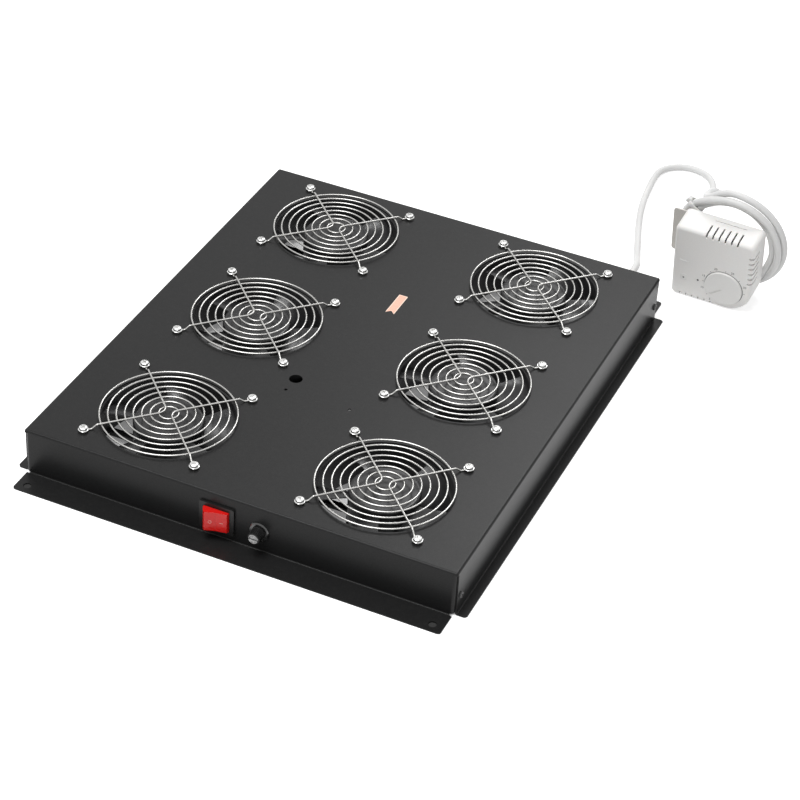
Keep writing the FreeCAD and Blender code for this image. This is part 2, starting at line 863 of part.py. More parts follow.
def make_fan_frame():
    """Cast the square fan frame with its barrel, struts and bearing tube."""
    body = new_body("fan_frame_master")
    half = D.fan_size / 2
    barrel = sketch_on(body, "XY_Plane", "barrel_outline")
    circle(barrel, 0.0, 0.0, D.fan_barrel)
    pad(body, barrel, D.fan_depth, "barrel")
    for name, level in (("low", as_size(0.0)), ("high", D.fan_depth - D.fan_flange)):
        square = sketch_on(body, "XY_Plane", f"{name}_flange_outline", level)
        rounded(square, -half, -half, half, half, D.fan_corner_radius)
        pad(body, square, D.fan_flange, f"{name}_flange")
    bore = sketch_on(body, "XY_Plane", "bore_outline", D.fan_depth)
    circle(bore, 0.0, 0.0, D.fan_bore)
    bored = pocket(body, bore, D.fan_depth, "bore")
    bore_radius = DRIVING["fan_bore"] / 2
    round_edges(
        body, bored,
        lambda edge: edge.Curve.TypeId == "Part::GeomCircle"
        and abs(edge.Curve.Radius - bore_radius) < 1e-3,
        D.fan_bore_chamfer, "bore_mouths", "PartDesign::Chamfer")

    centre = sketch_on(body, "XZ_Plane", "motor_plate_section")
    tube, seat = D.bearing_tube / 2, D.bearing_outside / 2
    outline(centre, (0.0, 0.0), (D.motor_plate / 2, 0.0), (D.motor_plate / 2, D.motor_plate_thickness),
            (tube, D.motor_plate_thickness), (tube, D.bearing_tube_height),
            (seat, D.bearing_tube_height), (seat, D.bearing_floor), (0.0, D.bearing_floor),
            (0.0, 0.0))
    revolve(body, centre, "motor_plate")
    strut = sketch_on(body, "XY_Plane", "strut_outline")
    strut_end = (D.fan_bore + D.fan_barrel) / 4
    rectangle(strut, D.motor_plate / 2 - 1, -D.strut_width / 2, strut_end, D.strut_width / 2)
    bar = pad(body, strut, D.strut_height, "strut")
    polar(body, bar, D.strut_count, "struts")

    holes = sketch_on(body, "XY_Plane", "frame_holes", D.fan_depth)
    for across in (-1, 1):
        for along in (-1, 1):
            circle(holes, D.fan_hole_pitch / 2 * across, D.fan_hole_pitch / 2 * along, D.fan_hole)
    pocket(body, holes, D.fan_depth, "frame_hole_cut")
    return body


def make_stator():
    """Wind the stator: a laminated stack with poles and a winding round the bearing tube."""
    body = new_body("stator_master")
    bore = D.bearing_tube / 2
    stack = sketch_on(body, "XZ_Plane", "stack_section")
    rectangle(stack, bore, D.stator_bottom, D.stator_outside / 2, D.stator_bottom + D.stator_height)
    revolve(body, stack, "stack")
    slot = sketch_on(body, "XY_Plane", "pole_slot", D.stator_bottom + D.stator_height)
    rectangle(slot, D.winding_inside / 2, -D.pole_gap / 2, D.stator_outside / 2, D.pole_gap / 2)
    cut = pocket(body, slot, D.stator_height, "pole_slot_cut")
    polar(body, cut, D.pole_count, "pole_slots")
    winding = sketch_on(body, "XZ_Plane", "winding_section")
    middle = D.stator_bottom + D.stator_height / 2
    rectangle(winding, D.winding_inside / 2, middle - D.winding_height / 2, D.winding_outside / 2,
              middle + D.winding_height / 2)
    revolve(body, winding, "winding")
    return body


def blade_section(body, radius, chord, pitch, sweep, thickness, name):
    """Draw a cambered blade section on a plane across the blade at a radius."""
    section = sketch_on(body, "YZ_Plane", name, radius, shift=(sweep, D.blade_middle), turn=pitch)
    half = chord / 2
    rise = chord * D.blade_camber
    edge = thickness / 4
    outer_radius = (half.value ** 2 + (rise.value + thickness.value / 2) ** 2) \
        / (2 * (rise.value + thickness.value / 2))
    lower = rise - thickness / 2
    inner_radius = (half.value ** 2 + lower.value ** 2) / (2 * lower.value)
    outline(section, (-half, -edge), (-half, edge), (half, edge, outer_radius, 1), (half, -edge),
            (-half, -edge, inner_radius, -1))
    return section


def make_impeller():
    """Mould the impeller: a hub cup with twisted, cambered and swept blades."""
    body = new_body("impeller_master")
    top = D.fan_depth - D.hub_top_gap
    radius, edge = D.hub / 2, D.hub_edge_radius
    hub = sketch_on(body, "XZ_Plane", "hub_section")
    outline(hub, (0.0, D.hub_bottom), (radius, D.hub_bottom), (radius, top - edge),
            (radius - edge, top, edge, -1), (0.0, top), (0.0, D.hub_bottom))
    revolve(body, hub, "hub")
    tip_radius = D.fan_bore / 2 + D.tip_overrun
    mid_thickness = (D.root_thickness + D.tip_thickness) / 2
    sections = [
        blade_section(body, D.root_radius, D.root_chord, D.root_pitch, as_size(0.0),
                      D.root_thickness, "blade_root"),
        blade_section(body, D.mid_radius, D.mid_chord, D.mid_pitch, D.mid_sweep, mid_thickness,
                      "blade_middle"),
        blade_section(body, tip_radius, D.tip_chord, D.tip_pitch, D.tip_sweep, D.tip_thickness,
                      "blade_tip"),
    ]
    blade = body.newObject("PartDesign::AdditiveLoft", "blade")
    blade.Profile = sections[0]
    blade.Sections = sections[1:]
    body.Tip = blade
    polar(body, blade, D.blade_count, "blades")
    trim = sketch_on(body, "XY_Plane", "tip_trim", D.fan_depth * 2)
    circle(trim, 0.0, 0.0, D.fan_bore - D.blade_tip_gap * 2)
    circle(trim, 0.0, 0.0, D.fan_bore * 2)
    pocket(body, trim, D.fan_depth * 4, "tip_cut")

    inside, boss = radius - D.hub_wall, D.hub_boss / 2
    roof = top - D.hub_roof
    boss_bottom = D.bearing_tube_height + D.hub_boss_gap
    shaft, shaft_top = D.shaft / 2, top - D.shaft_cover
    cup = sketch_on(body, "XZ_Plane", "hub_inside")
    below = D.hub_bottom - D.hub_wall
    outline(cup, (0.0, below), (inside, below), (inside, roof), (boss, roof), (boss, boss_bottom),
            (shaft, boss_bottom), (shaft, shaft_top), (0.0, shaft_top), (0.0, below))
    revolve(body, cup, "hub_hollow", "PartDesign::Groove")
    return body


def make_shaft():
    """Draw the fan shaft."""
    shaft = document.addObject("Part::Cylinder", "rotor_shaft_master")
    bind(shaft, "Radius", D.shaft / 2)
    start = D.bearing_floor + D.shaft_end_gap
    bind(shaft, "Height", D.fan_depth - D.hub_top_gap - D.shaft_cover - start)
    place(shaft, 0.0, 0.0, start)
    return shaft


def guard_spoke(side, name):
    """Bend one spoke wire: eyelet, step up, in to the middle and out to the next eyelet."""
    wire = DRIVING["guard_wire"]
    ring_level = DRIVING["guard_ring_lift"]
    spoke_level = ring_level + wire - DRIVING["guard_weld"]
    corner = DRIVING["fan_hole_pitch"] / 2
    reach = math.hypot(corner, corner)
    diagonal = Vector(side, -1, 0).normalize()
    across = Vector(side, 1, 0).normalize()
    eyelet = reach - DRIVING["eyelet_radius"]
    apex = Vector(side * DRIVING["guard_apex_offset"], 0, spoke_level)
    points = [
        diagonal * eyelet + Vector(0, 0, wire / 2),
        diagonal * DRIVING["guard_step_end"] + Vector(0, 0, wire / 2),
        diagonal * DRIVING["guard_step_start"] + Vector(0, 0, spoke_level),
        apex,
        across * DRIVING["guard_step_start"] + Vector(0, 0, spoke_level),
        across * DRIVING["guard_step_end"] + Vector(0, 0, wire / 2),
        across * eyelet + Vector(0, 0, wire / 2),
    ]
    step, middle = DRIVING["guard_step_bend"], DRIVING["guard_apex_bend"]
    return swept_tube(points, [step, step, middle, step, step], D.guard_wire, name)


def make_finger_guard():
    """Weld the finger guard: concentric rings under two bent spoke wires with eyelets."""
    pieces = []
    for number in range(int(DRIVING["guard_ring_count"])):
        ring = document.addObject("Part::Torus", f"guard_ring_{number + 1}")
        bind(ring, "Radius1", D.guard_first_ring + D.guard_ring_pitch * number)
        bind(ring, "Radius2", D.guard_wire / 2)
        place(ring, 0.0, 0.0, D.guard_ring_lift)
        pieces.append(ring)
    for across in (-1, 1):
        for along in (-1, 1):
            eyelet = document.addObject("Part::Torus", f"eyelet_{len(pieces)}")
            bind(eyelet, "Radius1", D.eyelet_radius)
            bind(eyelet, "Radius2", D.guard_wire / 2)
            place(eyelet, D.fan_hole_pitch / 2 * across, D.fan_hole_pitch / 2 * along,
                  D.guard_wire / 2)
            pieces.append(eyelet)
    pieces.append(guard_spoke(-1, "left_spoke"))
    pieces.append(guard_spoke(1, "right_spoke"))
    guard = document.addObject("Part::MultiFuse", "finger_guard_master")
    guard.Shapes = pieces
    return guard


def fan_screw_steps():
    """Give the spacings that carry a corner fastener to every fan hole."""
    return [
        ("X_Axis", D.fan_hole_pitch, 2),
        ("Y_Axis", D.fan_hole_pitch, 2),
        ("X_Axis", D.fan_pitch_x, D.fan_columns),
        ("Y_Axis", D.fan_pitch_y, D.fan_rows),
    ]


def first_fan_corner():
    """Give the first fan hole, from which the others are repeated."""
    x = -D.fan_pitch_x * (D.fan_columns - 1) / 2 - D.fan_hole_pitch / 2
    y = -D.fan_pitch_y * (D.fan_rows - 1) / 2 - D.fan_hole_pitch / 2
    return x, y


def make_guard_screws():
    """Turn the pan-head screws with captive washers that clamp guards and fans."""
    body = new_body("guard_screws")
    body.AllowCompound = True
    x, y = first_fan_corner()
    seat = D.tray_height + D.guard_wire
    thread, washer, head = D.screw_thread / 2, D.washer / 2, D.screw_head / 2
    top = seat + D.washer_thickness
    crown = D.screw_head_height
    edge = crown / 2
    section = sketch_on(body, "XZ_Plane", "guard_screw_section")
    outline(section, (0.0, seat - D.screw_length), (thread, seat - D.screw_length), (thread, seat),
            (washer, seat), (washer, top), (head, top), (head, top + edge),
            (head - edge, top + crown, edge, -1), (0.0, top + crown),
            (0.0, seat - D.screw_length))
    turned = revolve(body, section, "guard_screw")
    repeat(body, [turned], fan_screw_steps(), "guard_screw_copies")
    place(body, x, y, 0.0)
    return node(body, "guard_screws")


def make_guard_nuts():
    """Cut the hexagon nuts under the upper flanges of the fans."""
    body = new_body("guard_nuts")
    body.AllowCompound = True
    x, y = first_fan_corner()
    top = PLATE_UNDERSIDE - D.fan_flange
    outside = sketch_on(body, "XY_Plane", "guard_nut_outline", top)
    hexagon(outside, 0.0, 0.0, D.nut_across_flats)
    circle(outside, 0.0, 0.0, D.screw_thread)
    cut = pad(body, outside, D.nut_height, "guard_nut", back=True)
    repeat(body, [cut], fan_screw_steps(), "guard_nut_copies")
    place(body, x, y, 0.0)
    return node(body, "guard_nuts")


def make_fan_bearings():
    """Turn the sleeve bearings of the six fans."""
    body = new_body("fan_bearings")
    body.AllowCompound = True
    top = D.bearing_tube_height
    section = sketch_on(body, "XZ_Plane", "bearing_section")
    rectangle(section, D.shaft / 2 + D.shaft_clearance, top - D.bearing_length,
              D.bearing_outside / 2, top)
    turned = revolve(body, section, "bearing")
    repeat(body, [turned], fan_screw_steps()[2:], "bearing_copies")
    x = -D.fan_pitch_x * (D.fan_columns - 1) / 2
    y = -D.fan_pitch_y * (D.fan_rows - 1) / 2
    place(body, x, y, FAN_BOTTOM)
    return node(body, "fan_bearings")


def make_fans():
    """Build the fan masters once and put a copy of each at every fan place."""
    frame, stator, impeller = make_fan_frame(), make_stator(), make_impeller()
    shaft, guard = make_shaft(), make_finger_guard()
    for number, x, y in fan_centres():
        rest_angle = DRIVING["impeller_rest_step"] * number
        instance(frame, f"fan_frame_{number}", x, y, FAN_BOTTOM)
        instance(stator, f"stator_{number}", x, y, FAN_BOTTOM)
        instance(impeller, f"impeller_{number}", x, y, FAN_BOTTOM, rest_angle)
        instance(shaft, f"rotor_shaft_{number}", x, y, FAN_BOTTOM)
        instance(guard, f"finger_guard_{number}", x, y, D.tray_height)
    make_fan_bearings()
    make_guard_screws()
    make_guard_nuts()


def make_switch_housing():
    """Mould the switch housing: bezel, snap-in body and the cavity of the rocker."""
    body = new_body("switch_housing")
    bezel = sketch_on(body, "XZ_Plane", "bezel_outline")
    half_x, half_z = D.switch_bezel_width / 2, D.switch_bezel_height / 2
    rounded(bezel, -half_x, -half_z, half_x, half_z, D.switch_bezel_corner)
    pad(body, bezel, D.switch_bezel_thickness, "bezel")
    core = sketch_on(body, "XZ_Plane", "core_outline")
    half_x, half_z = D.switch_body_width / 2, D.switch_body_height / 2
    rectangle(core, -half_x, -half_z, half_x, half_z)
    pad(body, core, D.switch_body_depth, "core", back=True)
    cavity = sketch_on(body, "XZ_Plane", "cavity_outline", D.switch_bezel_thickness)
    half_x, half_z = D.rocker_opening_width / 2, D.rocker_opening_height / 2
    rectangle(cavity, -half_x, -half_z, half_x, half_z)
    pocket(body, cavity, D.rocker_cavity_depth, "cavity")
    pins = sketch_on(body, "XY_Plane", "pivot_holes", half_z + D.rocker_pin_length)
    depth = D.rocker_pivot_depth - D.switch_bezel_thickness
    circle(pins, 0.0, depth, D.rocker_pin + D.rocker_pin_clearance * 2)
    pocket(body, pins, D.rocker_opening_height + D.rocker_pin_length * 2, "pivot_cut")
    place(body, D.switch_x, -HALF_DEPTH, D.switch_z)
    return node(body, "switch_housing")


def make_rocker():
    """Mould the rocker: round ends about its pivot, a shallow valley and two pivot pins."""
    body = new_body("switch_rocker")
    half_height = D.rocker_opening_height / 2 - D.rocker_side_clearance
    angle = math.radians(DRIVING["rocker_corner_angle"])
    radius = D.rocker_radius
    across, out = radius * math.cos(angle), radius * math.sin(angle)
    under = D.rocker_underside
    foot = math.sqrt(radius.value ** 2 - under.value ** 2)
    section = sketch_on(body, "XY_Plane", "rocker_section", -half_height)
    outline(section, (-foot, under), (-across, -out, radius, -1), (0.0, -(out - D.rocker_valley)),
            (across, -out), (foot, under, radius, -1), (-foot, under))
    pad(body, section, half_height * 2, "rocker_block")
    pin = sketch_on(body, "XY_Plane", "pin_outline", -half_height - D.rocker_pin_length)
    circle(pin, 0.0, 0.0, D.rocker_pin)
    pad(body, pin, (half_height + D.rocker_pin_length) * 2, "pivot_pins")
    y = -HALF_DEPTH - D.switch_bezel_thickness + D.rocker_pivot_depth
    place(body, D.switch_x, y, D.switch_z, Rotation(Z_AXIS, DRIVING["rocker_half_travel"]))
    return node(body, "switch_rocker")


def make_blade_terminals():
    """Cut the push-on terminals behind the switch, the fuse holder and the inlet."""
    body = new_body("blade_terminals")
    body.AllowCompound = True
    front = sketch_on(body, "XZ_Plane", "switch_tags", HALF_DEPTH - D.switch_body_depth)
    half_width, half_thick = D.tag_width / 2, D.tag_thickness / 2
    for across in (-1, 1):
        for up in (-1, 1):
            x = D.switch_x + D.switch_tag_pitch_x / 2 * across
            z = D.switch_z + D.switch_tag_pitch_z / 2 * up
            rectangle(front, x - half_thick, z - half_width, x + half_thick, z + half_width)
    pad(body, front, D.tag_length, "switch_tag_set", back=True)
    fuse = sketch_on(body, "XZ_Plane", "fuse_tag", HALF_DEPTH - D.fuse_barrel_length)
    rectangle(fuse, D.fuse_x - half_width, D.fuse_z - half_thick, D.fuse_x + half_width,
              D.fuse_z + half_thick)
    pad(body, fuse, D.tag_length, "fuse_tag_set", back=True)
    inlet = sketch_on(body, "XZ_Plane", "inlet_tags", -(HALF_DEPTH - D.inlet_body_depth))
    for across in (-1, 0, 1):
        x = D.inlet_pin_pitch / 2 * across
        rectangle(inlet, x - half_thick, D.inlet_z - half_width, x + half_thick,
                  D.inlet_z + half_width)
    pad(body, inlet, D.tag_length, "inlet_tag_set")
    return node(body, "blade_terminals")


def make_fuse_holder():
    """Turn the fuse holder: flanged body, panel nut, cap and the fuse link."""
    body = new_body("fuse_holder_body")
    section = sketch_on(body, "XZ_Plane", "holder_section")
    flange, barrel, bore = D.fuse_flange / 2, D.fuse_barrel / 2, D.fuse_bore / 2
    length, lip = D.fuse_barrel_length, D.fuse_flange_thickness
    bottom = D.tag_width / 2
    outline(section, (0.0, -length), (barrel, -length), (barrel, 0.0), (flange, 0.0),
            (flange, lip / 2), (flange - lip / 2, lip), (bore, lip), (bore, -length + bottom),
            (0.0, -length + bottom), (0.0, -length))
    revolve(body, section, "holder")
    outward = Rotation(X_AXIS, 90)
    place(body, D.fuse_x, -HALF_DEPTH, D.fuse_z, outward)
    node(body, "fuse_holder_body")

    nut = new_body("fuse_holder_nut")
    outside = sketch_on(nut, "XY_Plane", "holder_nut_outline", -D.sheet_thickness)
    hexagon(outside, 0.0, 0.0, D.fuse_nut_flats)
    circle(outside, 0.0, 0.0, D.fuse_barrel)
    pad(nut, outside, D.fuse_nut_height, "holder_nut", back=True)
    place(nut, D.fuse_x, -HALF_DEPTH, D.fuse_z, outward)
    node(nut, "fuse_holder_nut")

    cap = new_body("fuse_cap")
    face = lip + D.fuse_cap_gap
    grip, end, plug, reach = D.fuse_cap_grip / 2, D.fuse_cap_end / 2, D.fuse_cap_plug / 2, D.fuse_cap_reach
    socket, depth = D.fuse_diameter / 2, D.fuse_cap_plug_length
    section = sketch_on(cap, "XZ_Plane", "cap_section")
    outline(section, (0.0, face), (socket, face), (socket, face - depth), (plug, face - depth),
            (plug, face), (grip, face), (end, face + reach), (0.0, face + reach), (0.0, face))
    revolve(cap, section, "cap")
    slot = sketch_on(cap, "XY_Plane", "cap_slot", face + reach)
    slot_half = D.fuse_cap_slot / 2
    rectangle(slot, -grip, -slot_half, grip, slot_half)
    pocket(cap, slot, D.fuse_cap_slot_depth, "cap_slot_cut")
    place(cap, D.fuse_x, -HALF_DEPTH, D.fuse_z, outward)
    node(cap, "fuse_cap")

    link = document.addObject("Part::Cylinder", "fuse_link")
    bind(link, "Radius", D.fuse_diameter / 2)
    bind(link, "Height", D.fuse_length)
    y = -HALF_DEPTH - face
    place(link, D.fuse_x, y, D.fuse_z, Rotation(X_AXIS, -90))
    return node(link, "fuse_link")


def make_inlet():
    """Mould the mains inlet with its socket, three pins and two flange screws."""
    body = new_body("mains_inlet")
    flange = sketch_on(body, "XZ_Plane", "inlet_flange_outline")
    half_x, half_z = D.inlet_flange_width / 2, D.inlet_flange_height / 2
    rounded(flange, -half_x, -half_z, half_x, half_z, D.inlet_flange_corner)
    pad(body, flange, D.inlet_flange_thickness, "inlet_flange", back=True)
    core = sketch_on(body, "XZ_Plane", "inlet_core_outline")
    half_x, half_z = D.inlet_body_width / 2, D.inlet_body_height / 2
    rounded(core, -half_x, -half_z, half_x, half_z, D.inlet_body_corner)
    pad(body, core, D.inlet_body_depth, "inlet_core")
    socket = sketch_on(body, "XZ_Plane", "inlet_socket_outline", -D.inlet_flange_thickness)
    half_x, half_z = D.inlet_socket_width / 2, D.inlet_socket_height / 2
    rounded(socket, -half_x, -half_z, half_x, half_z, D.inlet_socket_corner)
    pocket(body, socket, D.inlet_socket_depth, "inlet_socket", forward=True)
    holes = sketch_on(body, "XZ_Plane", "inlet_holes", -D.inlet_flange_thickness)
    for across in (-1, 1):
        circle(holes, D.inlet_screw_pitch / 2 * across, 0.0, D.inlet_screw)
    pocket(body, holes, D.inlet_flange_thickness, "inlet_hole_cut", forward=True)
    place(body, 0.0, HALF_DEPTH, D.inlet_z)
    node(body, "mains_inlet")

    pins = new_body("inlet_pins")
    pins.AllowCompound = True
    floor = D.inlet_socket_depth - D.inlet_flange_thickness
    base = sketch_on(pins, "XZ_Plane", "inlet_pin_outline", floor)
    half_width, half_height = D.inlet_pin_width / 2, D.inlet_pin_height / 2
    for across, rise in ((-1, 0.0), (0, D.inlet_pin_rise), (1, 0.0)):
        x, z = D.inlet_pin_pitch / 2 * across, as_size(rise) - D.inlet_pin_rise / 2
        rectangle(base, x - half_width, z - half_height, x + half_width, z + half_height)
    pad(pins, base, D.inlet_pin_reach, "inlet_pin_set", back=True)
    place(pins, 0.0, HALF_DEPTH, D.inlet_z)
    node(pins, "inlet_pins")

    screws = new_body("inlet_screws")
    screws.AllowCompound = True
    section = sketch_on(screws, "XZ_Plane", "inlet_screw_section")
    shank, head, crown = D.inlet_screw / 2, D.inlet_screw_head / 2, D.inlet_screw_head_height
    seat = D.inlet_flange_thickness
    outline(section, (0.0, seat - D.inlet_screw_length), (shank, seat - D.inlet_screw_length),
            (shank, seat), (head, seat), (head, seat + crown / 2),
            (head - crown / 2, seat + crown, crown / 2, -1), (0.0, seat + crown),
            (0.0, seat - D.inlet_screw_length))
    turned = revolve(screws, section, "inlet_screw")
    repeat(screws, [turned], [("X_Axis", D.inlet_screw_pitch, 2)], "inlet_screw_copies")
    place(screws, -D.inlet_screw_pitch / 2, HALF_DEPTH, D.inlet_z, Rotation(X_AXIS, -90))
    return node(screws, "inlet_screws")


def make_bushing():
    """Turn the tapered cord bushing in the back wall and its nut."""
    body = new_body("cord_bushing")
    section = sketch_on(body, "XZ_Plane", "bushing_section")
    head, thread, tip = D.bushing_head / 2, D.bushing_thread / 2, D.bushing_tip / 2
    shoulder, end = D.bushing_head_length, D.bushing_length
    outline(section, (0.0, -D.bushing_thread_length), (thread, -D.bushing_thread_length),
            (thread, 0.0), (head, 0.0), (head, shoulder / 2), (head - shoulder / 2, shoulder),
            (thread, shoulder), (tip, end), (0.0, end), (0.0, -D.bushing_thread_length))
    revolve(body, section, "bushing")
    outward = Rotation(X_AXIS, -90)
    place(body, D.bushing_x, HALF_DEPTH, D.bushing_z, outward)
    node(body, "cord_bushing")

    nut = new_body("bushing_nut")
    outside = sketch_on(nut, "XY_Plane", "bushing_nut_outline", -D.sheet_thickness)
    hexagon(outside, 0.0, 0.0, D.bushing_nut_flats)
    circle(outside, 0.0, 0.0, D.bushing_thread)
    pad(nut, outside, D.bushing_nut_height, "bushing_nut_ring", back=True)
    place(nut, D.bushing_x, HALF_DEPTH, D.bushing_z, outward)
    return node(nut, "bushing_nut")


def make_terminal_block():
    """Mould the terminal block that hangs from the underside of the plate."""
    body = new_body("terminal_block")
    half_x, half_y = D.block_length / 2, D.block_width / 2
    plan = sketch_on(body, "XY_Plane", "block_outline")
    rectangle(plan, -half_x, -half_y, half_x, half_y)
    pad(body, plan, D.block_height, "block", back=True)
    pitch = D.block_length / D.block_ways
    ways = sketch_on(body, "XY_Plane", "way_outline", -D.block_height)
    rectangle(ways, -half_x + D.block_rib, -half_y, -half_x + pitch, -half_y + D.block_width / 4)
    rectangle(ways, -half_x + D.block_rib, half_y - D.block_width / 4, -half_x + pitch, half_y)
    cut = pocket(body, ways, D.block_height / 2, "way", forward=True)
    repeat(body, [cut], [("X_Axis", pitch, D.block_ways)], "ways")
    place(body, D.block_x, D.block_y, PLATE_UNDERSIDE)
    return node(body, "terminal_block")


def thermostat_placement():
    """Give the frame of the thermostat: front lower left corner, turned and leaning."""
    turn = Rotation(Z_AXIS, DRIVING["thermostat_turn"])
    lean = Rotation(X_AXIS, DRIVING["thermostat_lean"])
    corner = Vector(DRIVING["thermostat_x"], DRIVING["thermostat_y"], 0)
    return Placement(corner, turn.multiply(lean))


def thermostat_node(target, label, local=None):
    """Put a piece into the frame of the thermostat and register it."""
    base = thermostat_placement()
    target.Placement = base if local is None else base.multiply(local)
    return node(target, label)


def thermostat_outline(sketch, inset):
    """Draw the front outline of the housing, moved in by an inset."""
    inset = as_size(inset)
    corner, low = D.thermostat_corner - inset, D.thermostat_low_corner - inset
    rounded(sketch, inset, inset, D.thermostat_width - inset, D.thermostat_height - inset,
            (corner, low, corner, corner))


def make_thermostat_cover():
    """Mould the hollow cover with its vents and the recess of the dial."""
    body = new_body("thermostat_cover")
    front = sketch_on(body, "XZ_Plane", "cover_outline")
    thermostat_outline(front, 0.0)
    block = pad(body, front, D.thermostat_depth, "cover_block", back=True)
    round_edges(body, block, lambda edge: edge.BoundBox.YMax < 1e-3, D.thermostat_edge_radius,
                "front_rounding")
    hollow = sketch_on(body, "XZ_Plane", "cover_inside", -D.thermostat_depth)
    thermostat_outline(hollow, D.thermostat_wall)
    pocket(body, hollow, D.thermostat_depth - D.thermostat_wall, "cover_hollow", forward=True)
    vents = sketch_on(body, "XZ_Plane", "vent_slots")
    half, wrap = D.vent_width / 2, D.vent_wrap
    beyond = D.vent_width
    for number in range(int(DRIVING["vent_count"])):
        x = D.top_vent_x + D.vent_pitch * number
        rectangle(vents, x - half, D.thermostat_height - wrap, x + half, D.thermostat_height + beyond)
        z = D.side_vent_z + D.vent_pitch * number
        rectangle(vents, D.thermostat_width - wrap, z - half, D.thermostat_width + beyond, z + half)
        x = D.low_vent_x + D.vent_pitch * number
        rectangle(vents, x - half, -beyond, x + half, wrap)
    pocket(body, vents, D.vent_depth, "vent_cut")
    slit = sketch_on(body, "XY_Plane", "parting_slit", D.thermostat_height)
    last = D.top_vent_x + D.vent_pitch * (D.vent_count - 1)
    rectangle(slit, D.top_vent_x, D.parting_slot_y, last, D.parting_slot_y + D.parting_slot)
    pocket(body, slit, D.thermostat_wall / 2, "parting_slit_cut")
    seat = sketch_on(body, "XZ_Plane", "dial_recess")
    circle(seat, D.dial_x, D.dial_z, D.dial + D.dial_gap * 2)
    pocket(body, seat, D.dial_recess, "dial_recess_cut")
    hole = sketch_on(body, "XZ_Plane", "spindle_hole")
    circle(hole, D.dial_x, D.dial_z, D.spindle + D.dial_gap * 2)
    pocket(body, hole, D.thermostat_wall * 2, "spindle_cut")
    return thermostat_node(body, "thermostat_cover")


def make_thermostat_inside():
    """Mould the base plate with its cord grommet, and the switch block that takes the spindle."""
    base = new_body("thermostat_base")
    plate = sketch_on(base, "XZ_Plane", "base_outline", -D.thermostat_depth)
    thermostat_outline(plate, 0.0)
    pad(base, plate, D.thermostat_base, "base_plate", back=True)
    back = D.thermostat_depth + D.thermostat_base
    collar = sketch_on(base, "XZ_Plane", "grommet_outline", -back)
    x, z = grommet_centre()
    circle(collar, x, z, D.grommet)
    pad(base, collar, D.coil_gap, "grommet", back=True)
    holes = sketch_on(base, "XZ_Plane", "base_screw_holes", -back)
    for x, z in bracket_screw_centres():
        circle(holes, x, z, D.bracket_screw)
    pocket(base, holes, D.thermostat_base, "base_screw_cut", forward=True)
    thermostat_node(base, "thermostat_base")

    block = new_body("thermostat_switch")
    outside = sketch_on(block, "XZ_Plane", "block_face", -D.thermostat_depth)
    half_x, half_z = D.dial_switch_width / 2, D.dial_switch_height / 2
    rectangle(outside, D.dial_x - half_x, D.dial_z - half_z, D.dial_x + half_x, D.dial_z + half_z)
    pad(block, outside, D.dial_switch_depth, "block_core")
    hole = sketch_on(block, "XZ_Plane", "block_bore", -(D.thermostat_depth - D.dial_switch_depth))
    circle(hole, D.dial_x, D.dial_z, D.spindle + D.spindle_clearance * 2)
    pocket(block, hole, D.dial_switch_depth - D.thermostat_wall, "block_bore_cut")
    return thermostat_node(block, "thermostat_switch")


def make_dial():
    """Turn the thermostat dial with its pointer groove, and the spindle behind it."""
    body = new_body("thermostat_dial")
    disc = sketch_on(body, "XY_Plane", "dial_outline", -(D.dial_recess - D.dial_seat_gap))
    circle(disc, 0.0, 0.0, D.dial)
    thickness = D.dial_proud + D.dial_recess - D.dial_seat_gap
    plate = pad(body, disc, thickness, "dial_disc")
    top = float(D.dial_proud)
    round_edges(body, plate, lambda edge: edge.BoundBox.ZMin > top - 1e-3,
                D.dial_edge_radius, "dial_edge")
    groove = sketch_on(body, "XY_Plane", "pointer_outline", D.dial_proud)
    half = D.pointer_width / 2
    rounded(groove, D.pointer_start, -half, D.pointer_end, half, D.pointer_corner)
    pocket(body, groove, D.pointer_depth, "pointer_groove")
    facing = Placement(Vector(DRIVING["dial_x"], 0, DRIVING["dial_z"]), Rotation(X_AXIS, 90))
    pointer = Placement(Vector(0, 0, 0), Rotation(Z_AXIS, DRIVING["pointer_angle"]))
    thermostat_node(body, "thermostat_dial", facing.multiply(pointer))

    spindle = document.addObject("Part::Cylinder", "dial_spindle")
    bind(spindle, "Radius", D.spindle / 2)
    bind(spindle, "Height", D.spindle_length)
    start = DRIVING["dial_recess"] - DRIVING["dial_seat_gap"]
    inward = Placement(Vector(DRIVING["dial_x"], start, DRIVING["dial_z"]), Rotation(X_AXIS, -90))
    return thermostat_node(spindle, "dial_spindle", inward)


def bracket_screw_centres():
    """Give the two bracket screws, one above the other in the middle of the housing."""
    x = D.thermostat_width / 4
    z = D.bracket_bottom + D.bracket_height / 2
    half = D.bracket_screw_pitch / 2
    return [(x, z - half), (x, z + half)]


